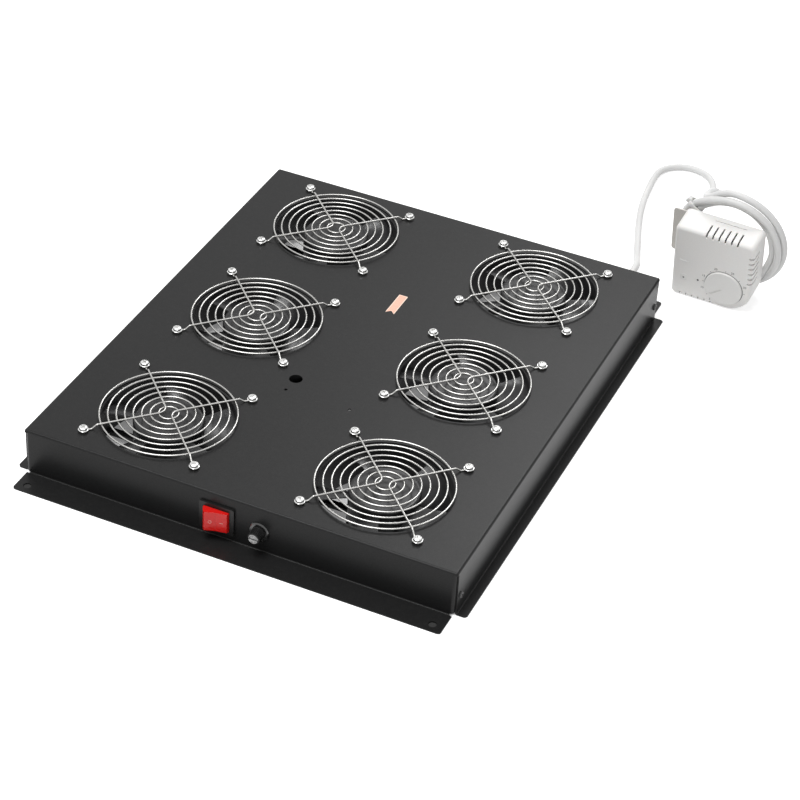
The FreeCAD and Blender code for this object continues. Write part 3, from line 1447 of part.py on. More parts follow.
def make_bracket():
    """Cut the steel bracket behind the thermostat, and turn its two screws."""
    back = D.thermostat_depth + D.thermostat_base
    plate = new_body("thermostat_bracket")
    face = sketch_on(plate, "XZ_Plane", "bracket_outline", -back)
    rounded(face, -D.bracket_left, D.bracket_bottom, D.bracket_width - D.bracket_left,
            D.bracket_bottom + D.bracket_height, D.bracket_corner)
    for x, z in bracket_screw_centres():
        circle(face, x, z, D.bracket_screw)
    pad(plate, face, D.bracket_thickness, "bracket", back=True)
    thermostat_node(plate, "thermostat_bracket")

    screws = new_body("bracket_screws")
    screws.AllowCompound = True
    shank, head, crown = D.bracket_screw / 2, D.bracket_screw_head / 2, D.bracket_screw_head_height
    tip = -(D.bracket_thickness + D.thermostat_base)
    section = sketch_on(screws, "XZ_Plane", "bracket_screw_section")
    outline(section, (0.0, tip), (shank, tip), (shank, 0.0), (head, 0.0), (head, crown / 2),
            (head - crown / 2, crown, crown / 2, -1), (0.0, crown), (0.0, tip))
    turned = revolve(screws, section, "bracket_screw")
    repeat(screws, [turned], [("Y_Axis", D.bracket_screw_pitch, 2)], "bracket_screw_copies")
    x, z = bracket_screw_centres()[1]
    seat = Vector(x.value, (back + D.bracket_thickness).value, z.value)
    return thermostat_node(screws, "bracket_screws", Placement(seat, Rotation(X_AXIS, -90)))


def coil_front():
    """Give the depth of the coil's front face behind the thermostat's front."""
    return D.thermostat_depth + D.thermostat_base + D.coil_gap


def coil_centre():
    """Give the middle of the coil, low enough to stand on the floor."""
    lean = math.radians(DRIVING["thermostat_lean"])
    radius = DRIVING["coil_outside"] / 2
    front = float(coil_front())
    rise = radius - front * math.tan(lean) + DRIVING["coil_floor_gap"] / math.cos(lean)
    return Vector(DRIVING["coil_x"], front, rise)


def coil_point(angle, depth):
    """Give a point on the middle turn of the coil at an angle, in the thermostat's frame."""
    centre = coil_centre()
    radius = (DRIVING["coil_outside"] + DRIVING["coil_inside"]) / 4
    turn = math.radians(angle)
    return Vector(centre.x + radius * math.cos(turn), depth, centre.z + radius * math.sin(turn))


def grommet_centre():
    """Give the place where the last turn of the coil enters the base plate."""
    point = coil_point(DRIVING["grommet_angle"], 0.0)
    return as_size(point.x), as_size(point.z)


def make_coil():
    """Draw the coil as one ring of its outer shape, and the tie round its section."""
    body = new_body("cord_coil")
    section = sketch_on(body, "XZ_Plane", "coil_section")
    outer, inner, corner = D.coil_outside / 2, D.coil_inside / 2, D.cord / 2
    rounded(section, inner, 0.0, outer, D.coil_thickness, corner)
    revolve(body, section, "coil")
    centre = coil_centre()
    thermostat_node(body, "cord_coil", Placement(centre, Rotation(X_AXIS, -90)))

    tie = new_body("cable_tie")
    band, gap = D.tie_band, D.tie_gap
    low_x, high_x = inner - gap, outer + gap
    low_z, high_z = -gap, D.coil_thickness + gap
    loop = sketch_on(tie, "XZ_Plane", "tie_outline", -D.tie_width / 2)
    rectangle(loop, low_x - band, low_z - band, high_x + band, high_z + band)
    rectangle(loop, low_x, low_z, high_x, high_z)
    pad(tie, loop, D.tie_width, "tie_loop")
    lock = sketch_on(tie, "XZ_Plane", "tie_head_outline", -D.tie_head / 2)
    middle = (low_z + high_z) / 2
    rectangle(lock, high_x + band / 2, middle - D.tie_head / 2, high_x + band + D.tie_head / 2,
              middle + D.tie_head / 2)
    pad(tie, lock, D.tie_head, "tie_lock")
    turn = Rotation(X_AXIS, -90).multiply(Rotation(Z_AXIS, -DRIVING["tie_angle"]))
    return thermostat_node(tie, "cable_tie", Placement(centre, turn))


def cord_route():
    """List the cord's route by hand, from the bushing to the back of the coil."""
    start_y = float(HALF_DEPTH + D.bushing_length)
    start = Vector(DRIVING["bushing_x"], start_y, DRIVING["bushing_z"])
    floor = DRIVING["cord"] / 2 + DRIVING["cord_floor_gap"]
    back = float(coil_front() + D.coil_thickness)
    frame = thermostat_placement()
    end = frame.multVec(coil_point(DRIVING["cord_join_angle"], back))
    before_end = frame.multVec(coil_point(DRIVING["cord_join_angle"], back + DRIVING["cord_last_run"]))
    return [
        start,
        Vector(start.x, 279.0, start.z),
        Vector(157.0, 297.5, 14.0),
        Vector(150.0, 318.5, floor + 0.7),
        Vector(140.0, 349.0, floor),
        Vector(128.0, 385.0, floor),
        Vector(119.0, 422.0, floor),
        Vector(115.0, 456.0, floor),
        Vector(115.6, 483.0, floor),
        Vector(123.6, 498.0, floor),
        Vector(138.4, 506.5, floor),
        Vector(155.6, 506.5, floor),
        Vector(170.4, 498.0, floor),
        Vector(179.0, 483.0, 5.0),
        Vector(183.0, 463.0, 11.0),
        Vector(186.0, 440.0, 24.0),
        Vector(190.0, 418.0, 43.0),
        Vector(196.0, 398.0, 64.0),
        Vector(201.0, 373.0, 80.0),
        before_end,
        end,
    ]


def make_cord():
    """Sweep the cord along its route with arcs as large as its runs allow."""
    points = cord_route()
    radii = []
    for number in range(1, len(points) - 1):
        before = points[number - 1] - points[number]
        after = points[number + 1] - points[number]
        shorter = min(before.Length, after.Length)
        half_turn = (math.pi - before.getAngle(after)) / 2
        radii.append(0.45 * shorter / math.tan(half_turn))
    tube = swept_tube(points, radii, D.cord, "thermostat_cord")
    node(tube, "thermostat_cord")
    return rounded_path(points, radii).Length, radii


def check_document():
    """Stop if any object failed or any sub-part is not one valid shape."""
    for item in document.Objects:
        if "Invalid" in item.State or "Error" in item.State:
            raise RuntimeError(f"{item.Name} failed: {item.State}")
    for item in NODES:
        shape = item.Shape
        if shape.isNull() or not shape.isValid() or not shape.Solids:
            raise RuntimeError(f"{item.Label} has no valid solid")


def main():
    """Build every sub-part, check the document and write the files."""
    make_tray_shell()
    make_end_walls()
    make_side_walls()
    make_corner_screws()
    make_fans()
    make_switch_housing()
    make_rocker()
    make_blade_terminals()
    make_fuse_holder()
    make_inlet()
    make_bushing()
    make_terminal_block()
    make_thermostat_cover()
    make_thermostat_inside()
    make_dial()
    make_bracket()
    make_coil()
    cord_length, radii = make_cord()
    document.recompute()
    check_document()
    section = math.pi * (DRIVING["cord"] / 2) ** 2
    cord = next(item for item in NODES if item.Label == "thermostat_cord")
    print(f"cord length {cord_length:.1f}, volume {cord.Shape.Volume:.0f}, "
          f"section x length {section * cord_length:.0f}")
    print("cord radii", " ".join(f"{radius:.0f}" for radius in radii))
    os.makedirs("parts", exist_ok=True)
    for item in NODES:
        item.Shape.exportStep(f"parts/{item.Label}.step")
        print(f"{item.Label}: {len(item.Shape.Solids)} solids, {item.Shape.Volume:.0f} mm3")
    print(len(NODES), "nodes")


main()
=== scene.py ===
"""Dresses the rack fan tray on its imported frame.

Lengths in the dataclasses are millimetres in the part's own frame, and meshes are written
in metres.  The tray stands on z = 0, its switch faces -Y and its thermostat lies behind it.
"""

import logging
import math
from dataclasses import dataclass
from enum import Enum
from typing import Optional, Sequence

import bmesh
import bpy
from mathutils import Matrix, Quaternion, Vector

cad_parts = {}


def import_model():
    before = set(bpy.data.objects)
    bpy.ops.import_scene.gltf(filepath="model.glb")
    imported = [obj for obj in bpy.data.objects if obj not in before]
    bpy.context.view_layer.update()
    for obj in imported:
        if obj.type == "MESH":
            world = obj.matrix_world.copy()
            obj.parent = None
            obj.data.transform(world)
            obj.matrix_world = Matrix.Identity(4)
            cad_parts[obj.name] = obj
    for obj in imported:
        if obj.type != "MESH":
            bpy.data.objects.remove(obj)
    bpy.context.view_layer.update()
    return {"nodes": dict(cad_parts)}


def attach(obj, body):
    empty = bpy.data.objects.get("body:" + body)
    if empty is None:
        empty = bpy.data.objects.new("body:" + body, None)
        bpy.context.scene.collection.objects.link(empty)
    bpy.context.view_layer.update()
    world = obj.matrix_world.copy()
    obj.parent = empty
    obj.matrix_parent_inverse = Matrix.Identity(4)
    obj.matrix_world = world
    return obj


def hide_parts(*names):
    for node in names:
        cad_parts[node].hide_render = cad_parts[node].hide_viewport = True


LOG = logging.getLogger("rack_fan_tray")
MM = 0.001
TRAY = "tray"
PLATE_TOP = 45.0
NOWHERE = Matrix.Identity(4)

Point = tuple[float, float, float]
Pair = tuple[float, float]
Colour = tuple[float, float, float]
Socket = bpy.types.NodeSocket


class Slot(Enum):
    """Material slots of the record, passed along with the new pieces but not read; the pieces take
    their finish from the materials built here.
    """

    TRAY = "black_powder_coat"
    GUARD = "bright_nickel"
    SCREW = "zinc_steel"
    BLACK_SCREW = "black_screw"
    BLACK_PLASTIC = "black_matte_plastic"
    ROCKER = "red_rocker"
    WHITE_PLASTIC = "white_plastic"
    CORD = "white_cord"
    NYLON = "nylon_white"


class Axis(Enum):
    """Directions along which drawn or brushed metal shows its lines, as noise factors."""

    X = (1.0, 30.0, 30.0)
    Y = (30.0, 1.0, 30.0)
    Z = (30.0, 30.0, 1.0)


# Node trees


class NodeSheet:
    """A node tree with short ways to add and fill its nodes."""

    def __init__(self, tree: bpy.types.NodeTree) -> None:
        """Take the tree to work on."""
        self.tree = tree

    def fill(self, socket: Socket, value: object) -> None:
        """Link another socket to a socket, or set its value."""
        if isinstance(value, Socket):
            self.tree.links.new(value, socket)
        else:
            socket.default_value = value

    def add(self, kind: str, properties: Optional[dict[str, object]] = None,
            **inputs: object) -> bpy.types.Node:
        """Add a node and fill its inputs.

        Args:
            kind: Node type; the GeometryNode prefix may be left out.
            properties: Properties of the node.
            inputs: Input names, with underscores for spaces, and sockets or values.

        Returns:
            The node.
        """
        node = self.tree.nodes.new(kind if "Node" in kind else f"GeometryNode{kind}")
        for label, value in (properties or {}).items():
            setattr(node, label, value)
        for label, value in inputs.items():
            self.fill(node.inputs[label.replace("_", " ")], value)
        return node

    def math(self, operation: str, *values: object, clamp: bool = False) -> Socket:
        """Combine sockets or numbers.

        Args:
            operation: Name of the Math node's operation.
            values: Sockets or numbers.
            clamp: Whether the result stays within 0 and 1.

        Returns:
            The result's socket.
        """
        node = self.add("ShaderNodeMath", {"operation": operation, "use_clamp": clamp})
        for socket, value in zip(node.inputs, values):
            self.fill(socket, value)
        return node.outputs[0]

    def ramp(self, value: Socket, low: float, high: float, start: float = 0.0,
             end: float = 1.0) -> Socket:
        """Stretch a value's range from low and high to start and end."""
        node = self.add("ShaderNodeMapRange", Value=value, From_Min=low, From_Max=high,
                        To_Min=start, To_Max=end)
        return node.outputs["Result"]


class ShaderGroup(NodeSheet):
    """A shader node group with named sockets, built once and used by many finishes."""

    def __init__(self, name: str, inputs: dict[str, float], outputs: Sequence[str]) -> None:
        """Make the group and its sockets.

        Args:
            name: Name of the group.
            inputs: Input names with their default values.
            outputs: Output names.
        """
        super().__init__(bpy.data.node_groups.new(name, "ShaderNodeTree"))
        make = self.tree.interface.new_socket
        for label, value in inputs.items():
            make(name=label, in_out="INPUT", socket_type="NodeSocketFloat").default_value = value
        for label in outputs:
            make(name=label, in_out="OUTPUT", socket_type="NodeSocketFloat")
        self.source = self.add("NodeGroupInput").outputs
        self.sink = self.add("NodeGroupOutput").inputs

    def noise(self, detail: float, stretch: Point = (1.0, 1.0, 1.0)) -> Socket:
        """Give noise on Object coordinates at the group's scale."""
        place = self.add("ShaderNodeTexCoord").outputs["Object"]
        mapped = self.add("ShaderNodeMapping", Vector=place, Scale=stretch).outputs["Vector"]
        noise = self.add("ShaderNodeTexNoise", Vector=mapped, Scale=self.source["Scale"],
                         Detail=detail)
        return noise.outputs["Fac"]

    def spread(self, noise: Socket) -> Socket:
        """Centre noise on zero and scale it by the group's amount."""
        return self.math("MULTIPLY", self.math("SUBTRACT", noise, 0.5), self.source["Amount"])

    def give(self, **results: Socket) -> bpy.types.NodeTree:
        """Feed the group's outputs and give its tree."""
        for label, socket in results.items():
            self.fill(self.sink[label], socket)
        return self.tree


class GroupLibrary:
    """The shader groups that the finishes share."""

    def __init__(self) -> None:
        """Build every group once."""
        self.grain = self._grain()
        self.patches = self._patches()
        self.dust = self._dust()
        self.drawn = {axis: self._drawn(axis) for axis in Axis}

    @staticmethod
    def _grain() -> bpy.types.NodeTree:
        """Give the pebbled skin of paint or moulded plastic: a height and a shade."""
        group = ShaderGroup("pebbled_skin", {"Scale": 900.0}, ("Height", "Shade"))
        cells = group.add("ShaderNodeTexVoronoi", {"feature": "SMOOTH_F1"},
                          Vector=group.add("ShaderNodeTexCoord").outputs["Object"],
                          Scale=group.source["Scale"])
        blend = group.math("ADD", group.math("MULTIPLY", group.noise(3.0), 0.6),
                           group.math("MULTIPLY", cells.outputs["Distance"], 0.4))
        return group.give(Height=blend, Shade=blend)

    @staticmethod
    def _patches() -> bpy.types.NodeTree:
        """Give large soft patches, where handling has polished or dulled a surface; on the fuse
        cap's end they paint reflections into the metal's colour.
        """
        group = ShaderGroup("soft_patches", {"Scale": 9.0, "Amount": 0.1}, ("Spread",))
        return group.give(Spread=group.spread(group.noise(5.0)))

    @staticmethod
    def _dust() -> bpy.types.NodeTree:
        """Give a mask for fine dust on faces that look up."""
        group = ShaderGroup("settled_dust", {"Scale": 260.0, "Amount": 0.1}, ("Mask",))
        facing = group.add("ShaderNodeNewGeometry").outputs["Normal"]
        parts = group.add("ShaderNodeSeparateXYZ", Vector=facing).outputs
        upward = group.math("MAXIMUM", parts["Z"], 0.0)
        specks = group.math("POWER", group.noise(4.0), 3.0)
        return group.give(Mask=group.math("MULTIPLY", group.math("MULTIPLY", upward, specks),
                                          group.source["Amount"]))

    @staticmethod
    def _drawn(axis: Axis) -> bpy.types.NodeTree:
        """Give the fine lines of drawn wire or brushed metal along one axis."""
        group = ShaderGroup(f"drawn_lines_{axis.name.lower()}", {"Scale": 60.0, "Amount": 0.2},
                            ("Height", "Spread"))
        noise = group.noise(4.0, axis.value)
        return group.give(Height=noise, Spread=group.spread(noise))


class MaterialBench(NodeSheet):
    """One material under construction: its Principled shader and the nodes before it."""

    def __init__(self, name: str) -> None:
        """Start a named material with a plain Principled shader."""
        self.material = bpy.data.materials.new(name)
        self.material.use_nodes = True
        super().__init__(self.material.node_tree)
        self.shader = next(n for n in self.tree.nodes if n.type == "BSDF_PRINCIPLED")

    def group(self, tree: bpy.types.NodeTree, **values: float) -> bpy.types.NodeOutputs:
        """Place a shader group with its own values, and give its outputs."""
        return self.add("ShaderNodeGroup", {"node_tree": tree}, **values).outputs

    def uneven(self, tree: bpy.types.NodeTree, level: float, scale: float, amount: float) -> Socket:
        """Spread a level by a group's soft patches.

        Args:
            tree: The group.
            level: Middle of the result.
            scale: Scale of the patches.
            amount: Width of the spread.

        Returns:
            The result's socket.
        """
        return self.math("ADD", self.group(tree, Scale=scale, Amount=amount)["Spread"], level)

    def blend(self, mask: Socket, low: object, high: object) -> Socket:
        """Mix two colours or sockets by a mask: low at 0, high at 1."""
        node = self.add("ShaderNodeMix", {"data_type": "RGBA"})
        for index, value in ((0, mask), (6, low), (7, high)):
            self.fill(node.inputs[index], (*value, 1.0) if isinstance(value, tuple) else value)
        return node.outputs[2]

    def distance(self, axis: str, middle: float = 0.0) -> Socket:
        """Give the distance, in metres, from a plane across an axis of the Object coordinates."""
        place = self.add("ShaderNodeTexCoord").outputs["Object"]
        parts = self.add("ShaderNodeSeparateXYZ", Vector=place).outputs
        return self.math("ABSOLUTE", self.math("SUBTRACT", parts[axis], middle))

    def bump(self, height: Socket, strength: float, depth: float) -> None:
        """Raise the surface by a height map of a depth in metres."""
        node = self.add("ShaderNodeBump", Strength=strength, Distance=depth, Height=height)
        self.set(Normal=node.outputs["Normal"])

    def set(self, **values: object) -> None:
        """Set or feed shader inputs by name, with underscores for spaces."""
        for label, value in values.items():
            self.fill(self.shader.inputs[label.replace("_", " ")], value)


# Finishes


class Finish:
    """A finish with a name.  Each kind mixes its own nodes."""

    name: str

    def build(self, groups: GroupLibrary) -> bpy.types.Material:
        """Build the material.

        Args:
            groups: The shared shader groups.

        Returns:
            The material.
        """
        bench = MaterialBench(self.name)
        self.mix(bench, groups)
        return bench.material

    def mix(self, bench: MaterialBench, groups: GroupLibrary) -> None:
        """Feed the shader."""
        raise NotImplementedError


@dataclass(frozen=True)
class Coating(Finish):
    """Paint or moulded plastic with a pebbled skin, soft patches and dust."""

    name: str
    colour: Colour
    light: Colour
    roughness: float
    grain: float = 900.0
    relief: float = 0.00004
    strength: float = 0.25
    patchiness: float = 0.12
    patch_scale: float = 11.0
    dust: float = 0.05
    dust_colour: Colour = (0.30, 0.29, 0.28)
    coat: float = 0.0
    specular: float = 0.5
    scatter: float = 0.0

    def mix(self, bench: MaterialBench, groups: GroupLibrary) -> None:
        """Mix the paint."""
        skin = bench.group(groups.grain, Scale=self.grain)
        dust = bench.group(groups.dust, Amount=self.dust)["Mask"]
        base = bench.blend(bench.ramp(skin["Shade"], 0.3, 0.7), self.colour, self.light)
        rough = bench.uneven(groups.patches, self.roughness, self.patch_scale, self.patchiness)
        bench.bump(skin["Height"], self.strength, self.relief)
        bench.set(Base_Color=bench.blend(dust, base, self.dust_colour), Roughness=rough,
                  Coat_Weight=self.coat, Coat_Roughness=0.12, Specular_IOR_Level=self.specular)
        if self.scatter:
            bench.set(Subsurface_Weight=self.scatter, Subsurface_Scale=0.002,
                      Subsurface_Radius=(1.0, 0.6, 0.4))


@dataclass(frozen=True)
class BareMetal(Finish):
    """Plated, drawn or ground metal with fine lines."""

    name: str
    colour: Colour
    dull_tone_and_painted_reflection: Colour
    roughness: float
    lines: Axis = Axis.Z
    line_scale: float = 60.0
    patchiness: float = 0.1
    patch_scale: float = 40.0

    def mix(self, bench: MaterialBench, groups: GroupLibrary) -> None:
        """Mix the metal."""
        drawn = bench.group(groups.drawn[self.lines], Scale=self.line_scale, Amount=self.patchiness)
        # the colour shifts in patches towards a duller tone; on the fuse cap's end the patches are
        # painted reflections
        mask = bench.ramp(bench.uneven(groups.patches, 0.5, self.patch_scale, 0.8), 0.2, 0.8)
        bench.bump(drawn["Height"], 0.12, 0.00002)
        bench.set(Base_Color=bench.blend(mask, self.dull_tone_and_painted_reflection, self.colour), Metallic=1.0,
                  Roughness=bench.math("ADD", drawn["Spread"], self.roughness))


@dataclass(frozen=True)
class WoundStator(Finish):
    """Steel laminations between two heads of enamelled copper wire."""

    name: str = "stator_laminations_and_copper"
    stack_low: float = 15.8
    stack_high: float = 25.8
    seam: float = 0.05
    steel: tuple[Colour, Colour] = ((0.09, 0.085, 0.08), (0.22, 0.215, 0.21))
    copper: Colour = (0.42, 0.13, 0.04)

    def mix(self, bench: MaterialBench, groups: GroupLibrary) -> None:
        """Mix the sheets and the wire."""
        middle = (self.stack_low + self.stack_high) / 2 * MM
        half = (self.stack_high - self.stack_low) / 2 * MM
        winding = bench.ramp(bench.distance("Z", middle), half, half + self.seam * MM)
        place = bench.add("ShaderNodeTexCoord").outputs["Object"]
        sheets = bench.add("ShaderNodeTexWave", {"bands_direction": "Z"}, Scale=600.0,
                           Distortion=0.4, Vector=place).outputs["Fac"]
        bench.bump(sheets, 0.5, 0.0001)
        bench.set(Base_Color=bench.blend(winding, bench.blend(sheets, *self.steel), self.copper),
                  Roughness=bench.uneven(groups.patches, 0.45, 120.0, 0.3), Metallic=0.8)


@dataclass(frozen=True)
class FuseGlass(Finish):
    """Clear glass tube with plated end caps, told apart along the fuse."""

    name: str = "fuse_glass_and_caps"
    low: float = -240.4
    high: float = -220.4
    cap: float = 5.0
    seam: float = 0.05
    glass: Colour = (0.75, 0.80, 0.78)
    plating: Colour = (0.62, 0.60, 0.55)

    def mix(self, bench: MaterialBench, groups: GroupLibrary) -> None:
        """Mix the glass and the caps."""
        half = (self.high - self.low) / 2 - self.cap
        away = bench.distance("Y", (self.low + self.high) / 2 * MM)
        cap = bench.ramp(away, half * MM, (half + self.seam) * MM)
        bench.set(Base_Color=bench.blend(cap, self.glass, self.plating), Metallic=cap,
                  Roughness=bench.uneven(groups.patches, 0.14, 90.0, 0.1))


@dataclass(frozen=True)
class CordSheath(Finish):
    """Soft white cord sheath, duller in patches."""

    name: str = "cord_sheath_white"
    colour: Colour = (0.74, 0.74, 0.735)
    dull: Colour = (0.64, 0.64, 0.635)

    def mix(self, bench: MaterialBench, groups: GroupLibrary) -> None:
        """Mix the sheath."""
        mask = bench.ramp(bench.uneven(groups.patches, 0.5, 30.0, 0.9), 0.2, 0.8)
        bench.bump(bench.group(groups.grain, Scale=1500.0)["Height"], 0.2, 0.00003)
        bench.set(Base_Color=bench.blend(mask, self.dull, self.colour),
                  Roughness=bench.uneven(groups.patches, 0.42, 60.0, 0.15),
                  Subsurface_Weight=0.08, Subsurface_Scale=0.002,
                  Subsurface_Radius=(1.0, 0.9, 0.8))


PALE_DUST = (0.62, 0.60, 0.56)
FINISHES: tuple[Finish, ...] = (
    Coating("powder_coat_black", (0.010, 0.010, 0.0102), (0.018, 0.018, 0.0182), 0.33,
            grain=1400.0, strength=0.2, patchiness=0.08, dust=0.03, specular=0.16),
    Coating("cast_frame_black", (0.014, 0.014, 0.015), (0.024, 0.024, 0.025), 0.46,
            grain=1100.0, relief=0.00008, strength=0.4, dust=0.06, specular=0.35),
    Coating("fan_blade_black", (0.016, 0.016, 0.017), (0.024, 0.024, 0.025), 0.28,
            grain=1600.0, relief=0.00002, strength=0.15, dust=0.10, specular=0.4),
    Coating("switch_black", (0.008, 0.008, 0.008), (0.014, 0.014, 0.014), 0.34,
            grain=2200.0, relief=0.00002, strength=0.2, dust=0.03, specular=0.3),
    Coating("holder_gloss", (0.010, 0.010, 0.010), (0.016, 0.016, 0.016), 0.16,
            grain=2400.0, relief=0.00001, strength=0.1, dust=0.02, coat=0.8, specular=0.6),
    Coating("shadow_black", (0.006, 0.006, 0.006), (0.010, 0.010, 0.010), 0.7,
            grain=2000.0, relief=0.00002, strength=0.2, dust=0.0),
    Coating("black_screw_paint", (0.030, 0.030, 0.030), (0.060, 0.060, 0.060), 0.45,
            grain=1800.0, relief=0.00003, strength=0.3),
    Coating("rocker_red", (0.62, 0.007, 0.006), (0.76, 0.012, 0.009), 0.26, grain=2500.0,
            relief=0.00001, strength=0.1, dust=0.01, coat=0.2, specular=0.3, scatter=0.15),
    Coating("thermostat_white", (0.77, 0.76, 0.745), (0.83, 0.82, 0.805), 0.50, grain=2200.0,
            relief=0.00003, dust=0.03, dust_colour=PALE_DUST, scatter=0.05),
    Coating("dial_white", (0.72, 0.715, 0.70), (0.77, 0.765, 0.75), 0.40, grain=2600.0,
            relief=0.00002, strength=0.2, dust=0.02, dust_colour=PALE_DUST),
    Coating("block_natural", (0.62, 0.61, 0.56), (0.70, 0.69, 0.64), 0.45,
            grain=1800.0, relief=0.00002, strength=0.2, dust=0.08),
    Coating("bracket_paint", (0.60, 0.58, 0.55), (0.68, 0.655, 0.62), 0.50,
            grain=1500.0, strength=0.3),
    Coating("nylon_tie_white", (0.80, 0.80, 0.79), (0.86, 0.86, 0.85), 0.35,
            grain=1800.0, relief=0.00002, strength=0.15, dust=0.02, scatter=0.1),
    Coating("salmon_label", (0.84, 0.42, 0.31), (0.92, 0.50, 0.38), 0.45,
            grain=700.0, relief=0.00006, strength=0.3, dust=0.02),
    Coating("label_edge", (0.95, 0.72, 0.58), (0.98, 0.80, 0.68), 0.55,
            relief=0.00005, strength=0.3, dust=0.02),
    # grey for the printed scale and dot, and for the painted shadow ring round the dial
    Coating("grey_print_and_painted_shadow", (0.075, 0.075, 0.078), (0.12, 0.12, 0.122), 0.55,
            grain=2600.0, relief=0.00001, strength=0.2, dust=0.0),
    Coating("printed_pink", (0.72, 0.34, 0.30), (0.80, 0.42, 0.38), 0.45,
            grain=2600.0, relief=0.00001, strength=0.2, dust=0.0),
    BareMetal("guard_nickel", (0.58, 0.575, 0.56), (0.42, 0.415, 0.40), 0.24, line_scale=90.0),
    BareMetal("screw_nickel", (0.90, 0.90, 0.89), (0.72, 0.72, 0.71), 0.16, line_scale=160.0),
    BareMetal("ground_steel", (0.62, 0.62, 0.63), (0.45, 0.45, 0.46), 0.22, line_scale=200.0),
    # painted reflections: a lowered metal colour and near-black fine patches stand in for the
    # reflections on the cap's end
    BareMetal("cap_chrome_painted_reflections", (0.44, 0.44, 0.44), (0.03, 0.03, 0.03), 0.20, Axis.X, 420.0,
              patchiness=0.3, patch_scale=700.0),
    BareMetal("zinc_plate", (0.66, 0.66, 0.64), (0.45, 0.44, 0.40), 0.34, Axis.Y, 120.0),
    BareMetal("sintered_bronze", (0.62, 0.42, 0.20), (0.40, 0.24, 0.10), 0.45, Axis.X, 90.0),
    BareMetal("tinned_brass", (0.80, 0.72, 0.50), (0.60, 0.50, 0.30), 0.30, Axis.Y, 140.0),
    WoundStator(),
    FuseGlass(),
    CordSheath(),
)
NODE_FINISHES: dict[str, tuple[str, ...]] = {
    "powder_coat_black": ("tray_",),
    "cast_frame_black": ("fan_frame_",),
    "stator_laminations_and_copper": ("stator_",),
    "fan_blade_black": ("impeller_",),
    "ground_steel": ("rotor_shaft_",),
    "sintered_bronze": ("fan_bearings",),
    "guard_nickel": ("finger_guard_",),
    "screw_nickel": ("guard_screws",),
    "zinc_plate": ("guard_nuts", "bracket_screws"),
    "black_screw_paint": ("corner_screws", "inlet_screws"),
    "switch_black": ("switch_housing", "fuse_cap", "mains_inlet", "cord_bushing", "bushing_nut"),
    "rocker_red": ("switch_rocker",),
    "tinned_brass": ("blade_terminals", "inlet_pins"),
    "holder_gloss": ("fuse_holder_",),
    "fuse_glass_and_caps": ("fuse_link",),
    "block_natural": ("terminal_block",),
    "thermostat_white": ("thermostat_cover", "thermostat_base", "thermostat_switch",
                         "dial_spindle"),
    "dial_white": ("thermostat_dial",),
    "bracket_paint": ("thermostat_bracket",),
    "cord_sheath_white": ("cord_coil", "thermostat_cord"),
    "nylon_tie_white": ("cable_tie",),
}
Paintbox = dict[str, bpy.types.Material]


def mix_paints() -> Paintbox:
    """Build the shader groups and every finish.

    Returns:
        The materials by name.
    """
    groups = GroupLibrary()
    return {finish.name: finish.build(groups) for finish in FINISHES}


def finish_nodes(nodes: dict[str, bpy.types.Object], paint: Paintbox) -> None:
    """Give every CAD node its material.

    Args:
        nodes: The CAD nodes by name.
        paint: All finishes.
    """
    for name, item in nodes.items():
        finish = next(key for key, starts in NODE_FINISHES.items() if name.startswith(starts))
        item.data.materials.clear()
        item.data.materials.append(paint[finish])
        LOG.info("%s finished with %s", name, finish)


# Meshes


def smooth_by_angle(mesh: bpy.types.Mesh, angle: float = 38.0) -> None:
    """Shade a mesh smooth and keep its sharp edges."""
    mesh.shade_smooth()
    mesh.set_sharp_from_angle(angle=math.radians(angle))


def new_object(name: str, data: bpy.types.ID) -> bpy.types.Object:
    """Put data into the scene as an object."""
    piece = bpy.data.objects.new(name, data)
    bpy.context.scene.collection.objects.link(piece)
    return piece


def plain_mesh(holder: bpy.types.Object) -> bpy.types.Mesh:
    """Give an object's mesh with its modifiers worked in, and remove the object."""
    depsgraph = bpy.context.evaluated_depsgraph_get()
    mesh = bpy.data.meshes.new_from_object(holder.evaluated_get(depsgraph))
    bpy.data.objects.remove(holder)
    return mesh


def cut_mesh(name: str, body: bpy.types.Mesh, tool: bpy.types.Mesh) -> bpy.types.Mesh:
    """Cut a tool's mesh out of a body's.

    Args:
        name: Name of the result.
        body: Mesh that is cut.
        tool: Mesh that is taken away.

    Returns:
        The cut mesh.
    """
    holder, cutter = new_object(name, body), new_object(f"{name}_cutter", tool)
    cut = holder.modifiers.new("cut", "BOOLEAN")
    cut.object = cutter
    cut.operation = "DIFFERENCE"
    cut.solver = "EXACT"
    mesh = plain_mesh(holder)
    bpy.data.objects.remove(cutter)
    mesh.name = name
    return mesh


def in_metres(place: Matrix) -> Matrix:
    """Give a placement in millimetres as one in metres."""
    scaled = place.copy()
    scaled.translation = place.translation * MM
    return scaled


def settle(piece: bpy.types.Object, slot: Slot, body: str = TRAY,
           nodes: Sequence[str] = ()) -> None:
    """Give a finished piece its body, and hide the nodes that it stands for.

    Args:
        piece: The piece, in place.
        slot: The record's slot; not used.
        body: The body that it rides on.
        nodes: CAD nodes that it replaces.
    """
    if nodes:
        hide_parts(*nodes)
    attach(piece, body)
    faces = len(piece.data.polygons) if piece.type == "MESH" else 0
    LOG.info("%s rides on %s, %d faces", piece.name, body, faces)


